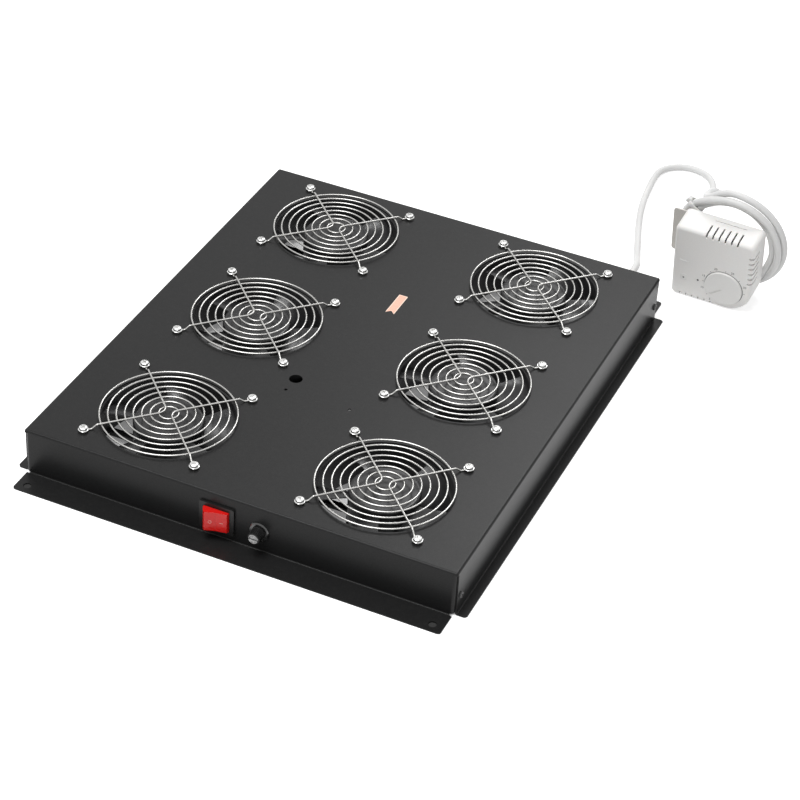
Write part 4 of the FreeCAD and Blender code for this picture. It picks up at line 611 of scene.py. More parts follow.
class Shape:
    """A mesh in millimetres that becomes a finished piece."""

    def __init__(self) -> None:
        """Start an empty mesh."""
        self.mesh = bmesh.new()

    def lathe(self, profile: Sequence[Pair], segments: int) -> "Shape":
        """Turn a profile round Z.  Points on the axis close the ends.

        Args:
            profile: Pairs of radius and height, from one end to the other.
            segments: Number of steps round the axis.

        Returns:
            The shape itself.
        """
        rings: list[list[bmesh.types.BMVert]] = []
        for radius, height in profile:
            turns = [math.tau * step / segments for step in range(segments if radius else 1)]
            rings.append([self.mesh.verts.new((radius * math.cos(turn), radius * math.sin(turn),
                                               height)) for turn in turns])
        for low, high in zip(rings, rings[1:]):
            for step in range(segments):
                after = (step + 1) % segments
                corners = [low[step % len(low)], low[after % len(low)],
                           high[after % len(high)], high[step % len(high)]]
                self.mesh.faces.new(list(dict.fromkeys(corners)))
        if profile[0][0] and profile[0] == profile[-1]:
            bmesh.ops.remove_doubles(self.mesh, verts=self.mesh.verts, dist=1e-5)
        return self

    def prism(self, outline: Sequence[Pair], low: float, high: float) -> "Shape":
        """Extrude a closed outline along Z.

        Args:
            outline: Corner points, anticlockwise.
            low: Height of the lower face.
            high: Height of the upper face.

        Returns:
            The shape itself.
        """
        bottom, top = ([self.mesh.verts.new((x, y, height)) for x, y in outline]
                       for height in (low, high))
        self.mesh.faces.new(list(reversed(bottom)))
        self.mesh.faces.new(top)
        self._wall(bottom, top)
        return self

    def band(self, inside: Sequence[Pair], outside: Sequence[Pair], half: float) -> "Shape":
        """Close a band of an even width round the Z axis.

        Args:
            inside: Inner outline.
            outside: Outer outline, with as many points.
            half: Half of the band's width.

        Returns:
            The shape itself.
        """
        rings = [[self.mesh.verts.new((x, y, z)) for x, y in outline] for outline, z in (
            (inside, -half), (outside, -half), (outside, half), (inside, half))]
        for first, second in zip(rings, rings[1:] + rings[:1]):
            self._wall(first, second)
        return self

    def _wall(self, first: list[bmesh.types.BMVert], second: list[bmesh.types.BMVert]) -> None:
        """Join two closed rings of points by faces."""
        for step in range(len(first)):
            after = (step + 1) % len(first)
            self.mesh.faces.new((first[step], first[after], second[after], second[step]))

    def bevel(self, width: float, segments: int = 2, angle: float = 30.0) -> "Shape":
        """Round the sharp edges.

        Args:
            width: Width of the bevel.
            segments: Steps across it.
            angle: Smallest angle between faces, in degrees.

        Returns:
            The shape itself.
        """
        self.mesh.normal_update()
        limit = math.radians(angle)
        edges = [edge for edge in self.mesh.edges
                 if len(edge.link_faces) == 2 and edge.calc_face_angle(0.0) > limit]
        bmesh.ops.bevel(self.mesh, geom=edges, offset=width, segments=segments,
                        profile=0.5, affect="EDGES")
        return self

    def to_mesh(self, name: str, finish: Optional[bpy.types.Material] = None,
                place: Matrix = NOWHERE) -> bpy.types.Mesh:
        """Write the mesh in metres.

        Args:
            name: Name of the mesh.
            finish: Its material.
            place: Placement of the whole mesh, in millimetres.

        Returns:
            The mesh.
        """
        bmesh.ops.recalc_face_normals(self.mesh, faces=self.mesh.faces)
        self.mesh.transform(Matrix.Scale(MM, 4) @ place)
        mesh = bpy.data.meshes.new(name)
        self.mesh.to_mesh(mesh)
        self.mesh.free()
        if finish:
            mesh.materials.append(finish)
        smooth_by_angle(mesh)
        return mesh

    def settle(self, name: str, finish: bpy.types.Material, slot: Slot, place: Matrix = NOWHERE,
               **owner: object) -> None:
        """Write the mesh and settle it as a piece.

        Args:
            name: Name of the piece.
            finish: Its material.
            slot: The record's slot.
            place: Placement of the whole mesh, in millimetres.
            owner: Its body and the nodes that it replaces.
        """
        settle(new_object(name, self.to_mesh(name, finish, place)), slot, **owner)


def rounded_corners(low: Pair, high: Pair, radius: float, steps: int) -> list[Pair]:
    """Give the outline of a rectangle with rounded corners, anticlockwise.

    Args:
        low: Left lower corner.
        high: Right upper corner.
        radius: Corner radius.
        steps: Steps in each corner.

    Returns:
        The points.
    """
    left, right = low[0] + radius, high[0] - radius
    bottom, top = low[1] + radius, high[1] - radius
    points = []
    corners = ((right, bottom, -90), (right, top, 0), (left, top, 90), (left, bottom, 180))
    for x, y, start in corners:
        for step in range(steps + 1):
            turn = math.radians(start + 90 * step / steps)
            points.append((x + radius * math.cos(turn), y + radius * math.sin(turn)))
    return points


def box_outline(low: Pair, high: Pair) -> list[Pair]:
    """Give the outline of a rectangle, anticlockwise."""
    return [low, (high[0], low[1]), high, (low[0], high[1])]


def word_shape(text: str, height: float, depth: float) -> Shape:
    """Make plain characters as a thin solid, centred on the origin of the XY plane.

    Args:
        text: The characters.
        height: Height of the characters.
        depth: Thickness of the print.

    Returns:
        The shape, not yet placed.
    """
    curve = bpy.data.curves.new(f"word_{text}", "FONT")
    curve.body = text
    curve.size = height * 1.4
    curve.extrude = depth / 2
    curve.align_x = "CENTER"
    curve.align_y = "CENTER"
    curve.resolution_u = 3
    flat = plain_mesh(new_object(f"word_{text}", curve))
    shape = Shape()
    shape.mesh.from_mesh(flat)
    bpy.data.meshes.remove(flat)
    return shape


# Geometry Nodes


class GeometryTree(NodeSheet):
    """A Geometry Nodes tree with named inputs for its sizes."""

    KINDS = {float: "NodeSocketFloat", int: "NodeSocketInt", type(None): "NodeSocketObject"}

    def __init__(self, name: str, inputs: dict[str, Optional[float]]) -> None:
        """Make the tree and its sockets.

        Args:
            name: Name of the tree.
            inputs: Input names with their default values; None makes an object input.
        """
        super().__init__(bpy.data.node_groups.new(name, "GeometryNodeTree"))
        self.tree.is_modifier = True
        make = self.tree.interface.new_socket
        make(name="Geometry", in_out="INPUT", socket_type="NodeSocketGeometry")
        for label, value in inputs.items():
            socket = make(name=label, in_out="INPUT", socket_type=self.KINDS[type(value)])
            if value is not None:
                socket.default_value = value
        make(name="Finish", in_out="INPUT", socket_type="NodeSocketMaterial")
        make(name="Geometry", in_out="OUTPUT", socket_type="NodeSocketGeometry")
        self.sizes = self.add("NodeGroupInput").outputs
        self.sink = self.add("NodeGroupOutput").inputs[0]

    def vector(self, x: object, y: object, z: object) -> Socket:
        """Combine three sockets or numbers into a vector."""
        return self.add("ShaderNodeCombineXYZ", X=x, Y=y, Z=z).outputs[0]

    def row(self, first: object, pitch: object) -> Socket:
        """Give a value for each point: the first value and a pitch for each number."""
        number = self.add("InputIndex").outputs[0]
        return self.math("ADD", first, self.math("MULTIPLY", number, pitch))

    def join(self, *parts: Socket) -> Socket:
        """Join parts and realize them."""
        joined = self.add("JoinGeometry")
        for part in parts:
            self.tree.links.new(part, joined.inputs[0])
        return self.add("RealizeInstances", Geometry=joined.outputs[0]).outputs[0]

    def finish(self, part: Socket) -> "GeometryTree":
        """Realize a part, give it the finish and end the tree."""
        coated = self.add("SetMaterial", Geometry=self.join(part), Material=self.sizes["Finish"])
        self.tree.links.new(coated.outputs[0], self.sink)
        return self

    def grow(self, name: str, base: bpy.types.Mesh, finish: bpy.types.Material,
             **values: object) -> bpy.types.Mesh:
        """Run the tree on a base mesh and give the result as a plain mesh.

        Args:
            name: Name of the resulting mesh.
            base: Mesh that the modifier stands on.
            finish: Material of the result.
            values: Inputs by name, with underscores for spaces.

        Returns:
            The mesh.
        """
        holder = new_object(f"{name}_holder", base)
        modifier = holder.modifiers.new(name, "NODES")
        modifier.node_group = self.tree
        keys = {item.name: item.identifier for item in self.tree.interface.items_tree
                if item.item_type == "SOCKET" and item.in_out == "INPUT"}
        for label, value in (*values.items(), ("Finish", finish)):
            modifier[keys[label.replace("_", " ")]] = value
        mesh = plain_mesh(holder)
        mesh.name = name
        if not mesh.materials:
            mesh.materials.append(finish)
        return mesh


def point_mesh(name: str, points: Sequence[Vector], headings: Sequence[Vector] = (),
               edges: Sequence[tuple[int, int]] = (),
               bends: Sequence[float] = ()) -> bpy.types.Mesh:
    """Make a mesh of bare points or edges in metres, with the attributes that the trees read.

    Args:
        name: Name of the mesh.
        points: Points in millimetres.
        headings: Direction at each point.
        edges: Pairs of point numbers.
        bends: Bend radius at each point, in millimetres.

    Returns:
        The mesh.
    """
    mesh = bpy.data.meshes.new(name)
    mesh.from_pydata([point * MM for point in points], list(edges), [])
    if headings:
        heading = mesh.attributes.new("heading", "FLOAT_VECTOR", "POINT")
        heading.data.foreach_set("vector", [part for way in headings for part in way])
    if bends:
        bend = mesh.attributes.new("bend", "FLOAT", "POINT")
        bend.data.foreach_set("value", [radius * MM for radius in bends])
    return mesh


def scatter_tree() -> GeometryTree:
    """Build the tree that puts one fastener at every point, along the point's heading."""
    tree = GeometryTree("fasteners_on_points", {"Fastener": None, "Spin": math.tau, "Seed": 7})
    heading = tree.add("InputNamedAttribute", {"data_type": "FLOAT_VECTOR"}, Name="heading")
    facing = tree.add("FunctionNodeAlignRotationToVector", {"axis": "Z"},
                      Vector=heading.outputs["Attribute"])
    spin = tree.add("FunctionNodeRandomValue", {"data_type": "FLOAT"}, Seed=tree.sizes["Seed"])
    tree.fill(spin.inputs[3], tree.sizes["Spin"])
    turn = tree.add("FunctionNodeAxisAngleToRotation", Angle=spin.outputs[1])
    both = tree.add("FunctionNodeRotateRotation", {"rotation_space": "LOCAL"},
                    Rotation=facing.outputs[0], Rotate_By=turn.outputs[0])
    pattern = tree.add("ObjectInfo", Object=tree.sizes["Fastener"])
    placed = tree.add("InstanceOnPoints", Points=tree.sizes["Geometry"],
                      Instance=pattern.outputs["Geometry"], Rotation=both.outputs[0])
    return tree.finish(placed.outputs[0])


def guard_tree() -> GeometryTree:
    """Build the tree of a wire guard: concentric rings, corner eyelets and bent spokes."""
    tree = GeometryTree("wire_guard", {
        "Rings": 8, "First Radius": 0.0085, "Pitch": 0.00715, "Lift": 0.003,
        "Wire Radius": 0.0008, "Hole Pitch": 0.105, "Eyelet Radius": 0.0031,
    })
    size = tree.sizes
    wire = tree.add("CurvePrimitiveCircle", Resolution=10, Radius=size["Wire Radius"])
    line = tree.add("MeshLine", {"mode": "OFFSET"}, Count=size["Rings"], Offset=(0.0, 0.0, 0.0),
                    Start_Location=tree.vector(0.0, 0.0, size["Lift"]))
    radius = tree.row(size["First Radius"], size["Pitch"])
    unit = tree.add("CurvePrimitiveCircle", Resolution=112, Radius=1.0)
    rings = tree.add("InstanceOnPoints", Points=line.outputs["Mesh"],
                     Instance=unit.outputs["Curve"], Scale=tree.vector(radius, radius, 1.0))
    corners = tree.add("MeshGrid", Size_X=size["Hole Pitch"], Size_Y=size["Hole Pitch"],
                       Vertices_X=2, Vertices_Y=2)
    lifted = tree.add("SetPosition", Geometry=corners.outputs["Mesh"],
                      Offset=tree.vector(0.0, 0.0, size["Wire Radius"]))
    small = tree.add("CurvePrimitiveCircle", Resolution=28, Radius=size["Eyelet Radius"])
    eyelets = tree.add("InstanceOnPoints", Points=lifted.outputs[0],
                       Instance=small.outputs["Curve"])
    spokes = tree.add("MeshToCurve", Mesh=size["Geometry"])
    bend = tree.add("InputNamedAttribute", {"data_type": "FLOAT"}, Name="bend")
    rounded = tree.add("FilletCurve", {"mode": "POLY"}, Curve=spokes.outputs[0], Count=7,
                       Radius=bend.outputs["Attribute"], Limit_Radius=True)
    paths = tree.join(rings.outputs[0], eyelets.outputs[0], rounded.outputs[0])
    tube = tree.add("CurveToMesh", Curve=paths, Profile_Curve=wire.outputs["Curve"], Fill_Caps=True)
    return tree.finish(tube.outputs[0])


def radial_tree() -> GeometryTree:
    """Build the tree that repeats a form round the Z axis from a start angle by a step."""
    tree = GeometryTree("forms_round_an_axis", {
        "Form": None, "Count": 12, "Start": 0.0, "Step": 0.5, "Radius": 0.01,
    })
    line = tree.add("MeshLine", {"mode": "OFFSET"}, Count=tree.sizes["Count"],
                    Offset=(0.0, 0.0, 0.0))
    angle = tree.row(tree.sizes["Start"], tree.sizes["Step"])
    x, y = (tree.math("MULTIPLY", tree.math(part, angle), tree.sizes["Radius"])
            for part in ("COSINE", "SINE"))
    spots = tree.add("SetPosition", Geometry=line.outputs["Mesh"], Offset=tree.vector(x, y, 0.0))
    pattern = tree.add("ObjectInfo", Object=tree.sizes["Form"])
    turn = tree.add("FunctionNodeEulerToRotation", Euler=tree.vector(0.0, 0.0, angle))
    placed = tree.add("InstanceOnPoints", Points=spots.outputs[0],
                      Instance=pattern.outputs["Geometry"], Rotation=turn.outputs[0])
    return tree.finish(placed.outputs[0])


def repeat_round(name: str, form: Shape, finish: bpy.types.Material, place: Matrix,
                 **sizes: float) -> bpy.types.Mesh:
    """Repeat a form round an axis.

    Args:
        name: Name of the mesh.
        form: The form, at the axis.
        finish: Material of the result.
        place: Placement of the axis, in millimetres.
        sizes: Inputs of the radial tree.

    Returns:
        The mesh.
    """
    holder = new_object(f"{name}_form", form.to_mesh(f"{name}_form"))
    base = point_mesh(f"{name}_base", [Vector((0, 0, 0))])
    mesh = radial_tree().grow(name, base, finish, Form=holder, **sizes)
    bpy.data.objects.remove(holder)
    mesh.transform(in_metres(place))
    return mesh


# Sub-assemblies


@dataclass(frozen=True)
class PanelLamp:
    """A soft square lamp: place, target and side in metres, and power in watts."""

    name: str
    place: Point
    target: Point
    side: float
    power: float

    def build(self) -> None:
        """Hang the lamp."""
        data = bpy.data.lights.new(self.name, "AREA")
        data.size = self.side
        data.energy = self.power
        lamp = new_object(self.name, data)
        lamp.location = self.place
        lamp.rotation_mode = "QUATERNION"
        way = Vector(self.target) - Vector(self.place)
        lamp.rotation_quaternion = way.to_track_quat("-Z", "Y")


@dataclass
class Studio:
    """Camera, lamps, floor and world, in metres."""

    position: Point = (0.714223, -1.646153, 1.331737)
    heading: tuple[float, float, float, float] = (0.8711983, 0.4423608, 0.0721072, 0.2003272)
    lens: float = 112.44
    sensor: float = 36.0
    clip: Pair = (0.05, 50.0)
    lamps: tuple[PanelLamp, ...] = (
        PanelLamp("top_panel", (-0.35, -0.7, 2.4), (0.05, 0.1, 0.0), 1.5, 49.0),
        PanelLamp("back_panel", (-0.209, 2.391, 2.485), (0.1, 0.0, 0.05), 1.0, 30.0),
    )
    world_level: float = 0.40
    floor_half: float = 9000.0
    floor_depth: float = 20.0
    floor_colour: Colour = (0.80, 0.80, 0.80)
    floor_glow: float = 0.62
    # painted shade: the floor's lower glow under the tray, so that the openings look shaded
    painted_shade_glow: float = 0.186
    # painted shadow: the floor's colour below the end flanges
    flange_shade: Colour = (0.05, 0.05, 0.05)
    footprint: tuple[Pair, ...] = ((0.2065, 0.2350), (0.1954, 0.2618))
    wall_y: float = 0.238
    edge: float = 0.001

    def build(self) -> None:
        """Make the camera first, then the lamps, the floor and the world."""
        self._camera()
        for lamp in self.lamps:
            lamp.build()
        self._floor()
        self._world()
        bpy.context.scene.view_settings.view_transform = "Standard"

    def _camera(self) -> None:
        """Set the camera at the photograph's place."""
        data = bpy.data.cameras.new("camera")
        data.lens = self.lens
        data.sensor_width = self.sensor
        data.clip_start, data.clip_end = self.clip
        camera = new_object("camera", data)
        camera.location = self.position
        camera.rotation_mode = "QUATERNION"
        camera.rotation_quaternion = Quaternion(self.heading)
        bpy.context.scene.camera = camera

    @staticmethod
    def _white_rays(sheet: NodeSheet) -> Socket:
        """Give a mask for camera, glossy and transmission rays."""
        path = sheet.add("ShaderNodeLightPath").outputs
        seen = sheet.math("MAXIMUM", path["Is Camera Ray"], path["Is Glossy Ray"])
        return sheet.math("MAXIMUM", seen, path["Is Transmission Ray"])

    def _floor(self) -> None:
        """Lay the pale floor, which glows only in rays that show the background. Its glow is
        lowered under the tray as painted shade, and below the end flanges the glow is cut and the
        colour turns near-black as a painted shadow.
        """
        half = self.floor_half
        shape = Shape().prism(box_outline((-half, -half), (half, half)), -self.floor_depth, 0.0)
        bench = MaterialBench("floor_white")
        beyond, shadow_strips = self._footprint(bench)
        # painted shade and painted shadow: the glow drops under the tray and goes to nothing below
        # the end flanges
        level = bench.ramp(beyond, 0.0, 1.0, self.painted_shade_glow, self.floor_glow)
        glow = bench.math("SUBTRACT", level, shadow_strips, clamp=True)
        # painted shadow: below the end flanges the floor takes the flange shade colour
        bench.set(Base_Color=bench.blend(shadow_strips, self.floor_colour, self.flange_shade),
                  Roughness=0.9, Specular_IOR_Level=0.0, Emission_Color=(1.0, 1.0, 1.0, 1.0),
                  Emission_Strength=bench.math("MULTIPLY", self._white_rays(bench), glow))
        new_object("floor", shape.to_mesh("floor", bench.material))

    def _footprint(self, bench: MaterialBench) -> tuple[Socket, Socket]:
        """Tell the open floor from the floor that the tray and its end flanges cover.

        Args:
            bench: The floor's material.

        Returns:
            A mask of the open floor, and a mask of the floor below the end flanges, where the
            painted shadow goes.
        """
        x, y = bench.distance("X"), bench.distance("Y")
        clear = [bench.math("MAXIMUM", self._past(bench, x, across), self._past(bench, y, along))
                 for across, along in self.footprint]
        beyond = bench.math("MULTIPLY", *clear)
        return beyond, bench.math("SUBTRACT", self._past(bench, y, self.wall_y), beyond, clamp=True)

    def _past(self, bench: MaterialBench, distance: Socket, limit: float) -> Socket:
        """Give a mask with a narrow soft edge for distances past a limit."""
        return bench.ramp(distance, limit - self.edge, limit + self.edge)

    def _world(self) -> None:
        """Light the world plainly and show it white."""
        world = bpy.data.worlds.new("world")
        bpy.context.scene.world = world
        world.use_nodes = True
        sheet = NodeSheet(world.node_tree)
        background = next(n for n in sheet.tree.nodes if n.type == "BACKGROUND").inputs
        background["Color"].default_value = (1.0, 1.0, 1.0, 1.0)
        strength = sheet.ramp(self._white_rays(sheet), 0.0, 1.0, self.world_level, 1.0)
        sheet.fill(background["Strength"], strength)


@dataclass(frozen=True)
class ThermostatFrame:
    """The thermostat's own axes: x to its right, y into its depth, z up its front."""

    corner: Point = (196.6, 285.7, 0.0)
    turn: float = -2.4
    lean: float = 8.5

    def matrix(self) -> Matrix:
        """Give the placement in millimetres."""
        turned = Matrix.Rotation(math.radians(self.turn), 4, "Z")
        leaned = Matrix.Rotation(math.radians(self.lean), 4, "X")
        return Matrix.Translation(self.corner) @ turned @ leaned

    def point(self, x: float, y: float, z: float) -> Vector:
        """Give a point of the thermostat in the tray's frame."""
        return self.matrix() @ Vector((x, y, z))


THERMOSTAT = ThermostatFrame()


@dataclass
class ThermostatCord:
    """The thermostat's cord with its coil, its cable tie and its bushing.

    The coil's marks are an angle round it, a radius and a depth behind its front face.
    """

    diameter: float = 6.8
    length: float = 1.25
    coil_x: float = 42.0
    coil_front: float = 33.5
    coil_outer: float = 55.5
    coil_floor_gap: float = 0.1
    coil_step: float = 30.0
    coil_entry: tuple[Point, ...] = (
        (158.0, 39.9, 43.2), (149.0, 41.2, 33.8), (139.0, 42.6, 21.7), (123.0, 44.2, 12.7),
        (107.0, 48.8, 10.5),
    )
    coil_laps: tuple[Point, ...] = (
        (90.0, 51.6, 10.0), (-180.0, 52.0, 9.6), (-210.0, 50.6, 7.4), (-240.0, 47.0, 4.0),
        (-420.0, 48.6, 3.4), (-540.0, 45.4, 3.8), (-600.0, 41.9, 8.4), (-720.0, 40.4, 7.8),
    )
    coil_exit: tuple[Point, ...] = (
        (-735.0, 40.8, 6.4), (-750.0, 41.4, 3.6), (-764.0, 43.0, 0.0), (-778.0, 46.6, -4.4),
    )
    tie_angle: float = 143.0
    tie_width: float = 4.0
    tie_band: float = 1.2
    tie_low: Pair = (39.7, 2.9)
    tie_high: Pair = (53.7, 10.7)
    tie_corners: Pair = (3.2, 4.0)
    tie_head: float = 5.5
    bushing: Point = (162.0, 238.2, 22.0)
    bushing_length: float = 24.0
    collar: float = 4.0
    ribs: int = 6
    rib_radii: Pair = (5.8, 4.7)

    def coil_centre(self) -> Vector:
        """Give the middle of the coil's front face in the thermostat's frame."""
        lean = math.radians(THERMOSTAT.lean)
        gap = self.coil_floor_gap / math.cos(lean)
        rise = self.coil_outer - self.coil_front * math.tan(lean) + gap
        return Vector((self.coil_x, self.coil_front, rise))

    def coil_point(self, angle: float, radius: float, depth: float) -> Vector:
        """Give a point of the coil in the tray's frame.

        Args:
            angle: Angle round the coil in degrees, anticlockwise from the front.
            radius: Distance from the coil's middle.
            depth: Distance behind the coil's front face.

        Returns:
            The point.
        """
        turn = math.radians(angle)
        away = Vector((radius * math.cos(turn), depth, radius * math.sin(turn)))
        return THERMOSTAT.point(*(self.coil_centre() + away))

    def route(self) -> list[Vector]:
        """List the cord's points from the bushing over the floor to the coil's back."""
        floor = self.diameter / 2 + 0.1
        spots = [
            (162.0, 262.2, 22.0), (162.0, 279.0, 22.0), (157.0, 297.5, 14.0),
            (150.0, 318.5, floor + 0.7), (140.0, 349.0, floor), (128.0, 385.0, floor),
            (119.0, 422.0, floor), (114.3, 463.7, floor), (113.9, 482.8, floor),
            (123.3, 497.7, floor), (138.4, 505.0, floor), (155.4, 503.1, floor),
            (168.9, 492.1, floor), (176.4, 472.7, 4.2), (183.2, 439.1, 11.7),
            (198.7, 421.3, 36.0), (203.4, 403.0, 47.9), (202.3, 391.6, 54.7),
            (202.5, 373.0, 68.0),
        ]
        return [Vector(spot) for spot in spots]

    def laps(self) -> list[Point]:
        """Work out the coil's turns: a point for each step of angle between the lap marks."""
        points = [self.coil_laps[0]]
        for start, end in zip(self.coil_laps, self.coil_laps[1:]):
            steps = round((start[0] - end[0]) / self.coil_step)
            points += [tuple(Vector(start).lerp(Vector(end), step / steps))
                       for step in range(1, steps + 1)]
        return points

    def coil(self) -> list[Vector]:
        """List the cord's points in the coil, from the tie to the thermostat's grommet."""
        widen = 1.0 / math.cos(math.radians(self.coil_step / 2))
        turns = [*self.coil_entry, *self.laps(), *self.coil_exit]
        return [self.coil_point(angle, radius * widen, depth) for angle, radius, depth in turns]

    def build(self, paint: Paintbox) -> None:
        """Make the tie, the bushing and the cord."""
        self._tie(paint)
        self._bushing(paint)
        curve = bpy.data.curves.new("cord", "CURVE")
        curve.dimensions = "3D"
        curve.bevel_depth = self.diameter / 2 * MM
        curve.bevel_resolution = 6
        curve.use_fill_caps = True
        curve.resolution_u = 10
        line = curve.splines.new("NURBS")
        points = self.route() + self.coil()
        line.points.add(len(points) - 1)
        for spot, point in zip(line.points, points):
            spot.co = (*(point * MM), 1.0)
        line.order_u = 3
        line.use_endpoint_u = True
        curve.materials.append(paint["cord_sheath_white"])
        cord = new_object("cord", curve)
        settle(cord, Slot.CORD, nodes=["thermostat_cord", "cord_coil"])

    def _tie(self, paint: Paintbox) -> None:
        """Close the nylon tie round the coil's section, with its lock."""
        (low_x, low_y), (high_x, high_y) = self.tie_low, self.tie_high
        band, half, head = self.tie_band, self.tie_width / 2, self.tie_head / 2
        inner, outer = self.tie_corners
        inside = rounded_corners(self.tie_low, self.tie_high, inner, 6)
        outside = rounded_corners((low_x - band, low_y - band), (high_x + band, high_y + band),
                                  outer, 6)
        shape = Shape().band(inside, outside, half)
        middle = (low_y + high_y) / 2
        lock = box_outline((high_x + 0.3, middle - head), (high_x + band + head, middle + head))
        shape.prism(lock, -head, head).bevel(0.35, 2, 40.0)
        turn = Matrix.Rotation(math.radians(-self.tie_angle), 4, "Y")
        place = THERMOSTAT.matrix() @ Matrix.Translation(self.coil_centre()) @ turn
        shape.settle("coil_tie", paint["nylon_tie_white"], Slot.NYLON, place, nodes=["cable_tie"])

    def _bushing(self, paint: Paintbox) -> None:
        """Turn the ribbed, tapered bushing that carries the cord out of the back wall."""
        start, end = self.rib_radii
        pitch = (self.bushing_length - self.collar) / self.ribs
        profile = [(0.0, -9.0), (5.5, -9.0), (start, -8.7), (start, 0.0), (7.8, 0.0), (8.0, 0.3),
                   (8.0, 2.2), (7.4, 3.4), (6.2, self.collar)]
        for rib in range(self.ribs):
            low = self.collar + pitch * rib
            radius = start - (start - end) * rib / self.ribs
            profile += [(radius - 0.6, low + 0.3), (radius - 0.6, low + pitch * 0.35),
                        (radius, low + pitch * 0.5), (radius, low + pitch * 0.9)]
        profile += [(4.6, self.bushing_length), (0.0, self.bushing_length)]
        place = Matrix.Translation(self.bushing) @ Matrix.Rotation(math.radians(-90), 4, "X")
        Shape().lathe(profile, 40).settle("ribbed_bushing", paint["switch_black"],
                                          Slot.BLACK_PLASTIC, place, nodes=["cord_bushing"])


@dataclass
class FanBank:
    """Six fans with their wire guards."""

    pitch_x: float = 202.0
    pitch_y: float = 164.0
    hole_pitch: float = 105.0
    wire: float = 1.6
    ring_lift: float = 3.0
    weld: float = 0.3
    step_start: float = 62.5
    step_end: float = 67.0
    apex_offset: float = 1.0
    step_bend: float = 2.0
    apex_bend: float = 8.0
    eyelet: float = 3.1

    def centres(self) -> list[tuple[int, float, float]]:
        """Give the number and the centre of each fan."""
        return [(number + 1, self.pitch_x * (number % 2 - 0.5), self.pitch_y * (number // 2 - 1))
                for number in range(6)]

    def holes(self) -> list[Vector]:
        """Give the 24 mounting holes on top of the guards' eyelets."""
        half = self.hole_pitch / 2
        return [Vector((x + across * half, y + along * half, PLATE_TOP + self.wire))
                for _, x, y in self.centres() for across in (-1, 1) for along in (-1, 1)]

    def spokes(self) -> bpy.types.Mesh:
        """Give the corner points of the two bent spoke wires."""
        points: list[Vector] = []
        edges: list[tuple[int, int]] = []
        reach = self.hole_pitch / math.sqrt(2) - self.eyelet
        up = Vector((0, 0, self.ring_lift + self.wire - self.weld))
        down = Vector((0, 0, self.wire / 2))
        for side in (-1, 1):
            start = len(points)
            near, far = (Vector((side, end, 0)).normalized() for end in (-1, 1))
            points += [near * reach + down, near * self.step_end + down,
                       near * self.step_start + up, Vector((side * self.apex_offset, 0, up.z)),
                       far * self.step_start + up, far * self.step_end + down, far * reach + down]
            edges += [(start + step, start + step + 1) for step in range(6)]
        step = [self.step_bend] * 2
        bends = [0.0, *step, self.apex_bend, *step, 0.0] * 2
        return point_mesh("guard_spokes", points, edges=edges, bends=bends)

    def build(self, paint: Paintbox) -> None:
        """Grow one guard and put a copy over each fan."""
        guard = guard_tree().grow("wire_guard", self.spokes(), paint["guard_nickel"])
        smooth_by_angle(guard, 60.0)
        for number, x, y in self.centres():
            mesh = guard.copy()
            mesh.transform(Matrix.Translation(Vector((x, y, PLATE_TOP)) * MM))
            settle(new_object(f"wire_guard_{number}", mesh), Slot.GUARD,
                   nodes=[f"finger_guard_{number}"])


@dataclass
class ScrewForm:
    """A pan-head screw with a cross recess; its head sits on z = 0."""

    shank: float
    length: float
    head: float
    rise: float
    washer: float = 0.0
    washer_rise: float = 0.8
    recess: float = 1.0
    recess_width: float = 0.9
    thread_start: float = 4.0
    thread_pitch: float = 0.7

    def template(self, name: str) -> bpy.types.Object:
        """Make the screw once for the tree to repeat.

        Args:
            name: Name of the template.

        Returns:
            The template object.
        """
        radius, head, seat = self.shank / 2, self.head / 2, 0.0
        profile = [(0.0, -self.length), (radius * 0.75, -self.length)]
        height = -self.length + 0.4
        while height < -self.thread_start:
            profile += [(radius, height), (radius * 0.84, height + self.thread_pitch / 2)]
            height += self.thread_pitch
        profile.append((radius, 0.0))
        if self.washer:
            rim, seat = self.washer / 2, self.washer_rise
            profile += [(rim, 0.0), (rim, seat * 0.8), (rim - 0.2, seat)]
        profile += [(head * width, seat + self.rise * up) for width, up in (
            (1.0, 0.0), (1.0, 0.45), (0.93, 0.74), (0.74, 0.93), (0.4, 1.0), (0.0, 1.0))]
        top = seat + self.rise
        arm, half = self.head * 0.30, self.recess_width / 2
        outline = [(-arm, -half), (-half, -half), (-half, -arm), (half, -arm), (half, -half),
                   (arm, -half), (arm, half), (half, half), (half, arm), (-half, arm),
                   (-half, half), (-arm, half)]
        screw = Shape().lathe(profile, 24).to_mesh(name)
        cross = Shape().prism(outline, top - self.recess, top + 1.0).to_mesh(f"{name}_cross")
        mesh = cut_mesh(name, screw, cross)
        smooth_by_angle(mesh, 34.0)
        return new_object(name, mesh)


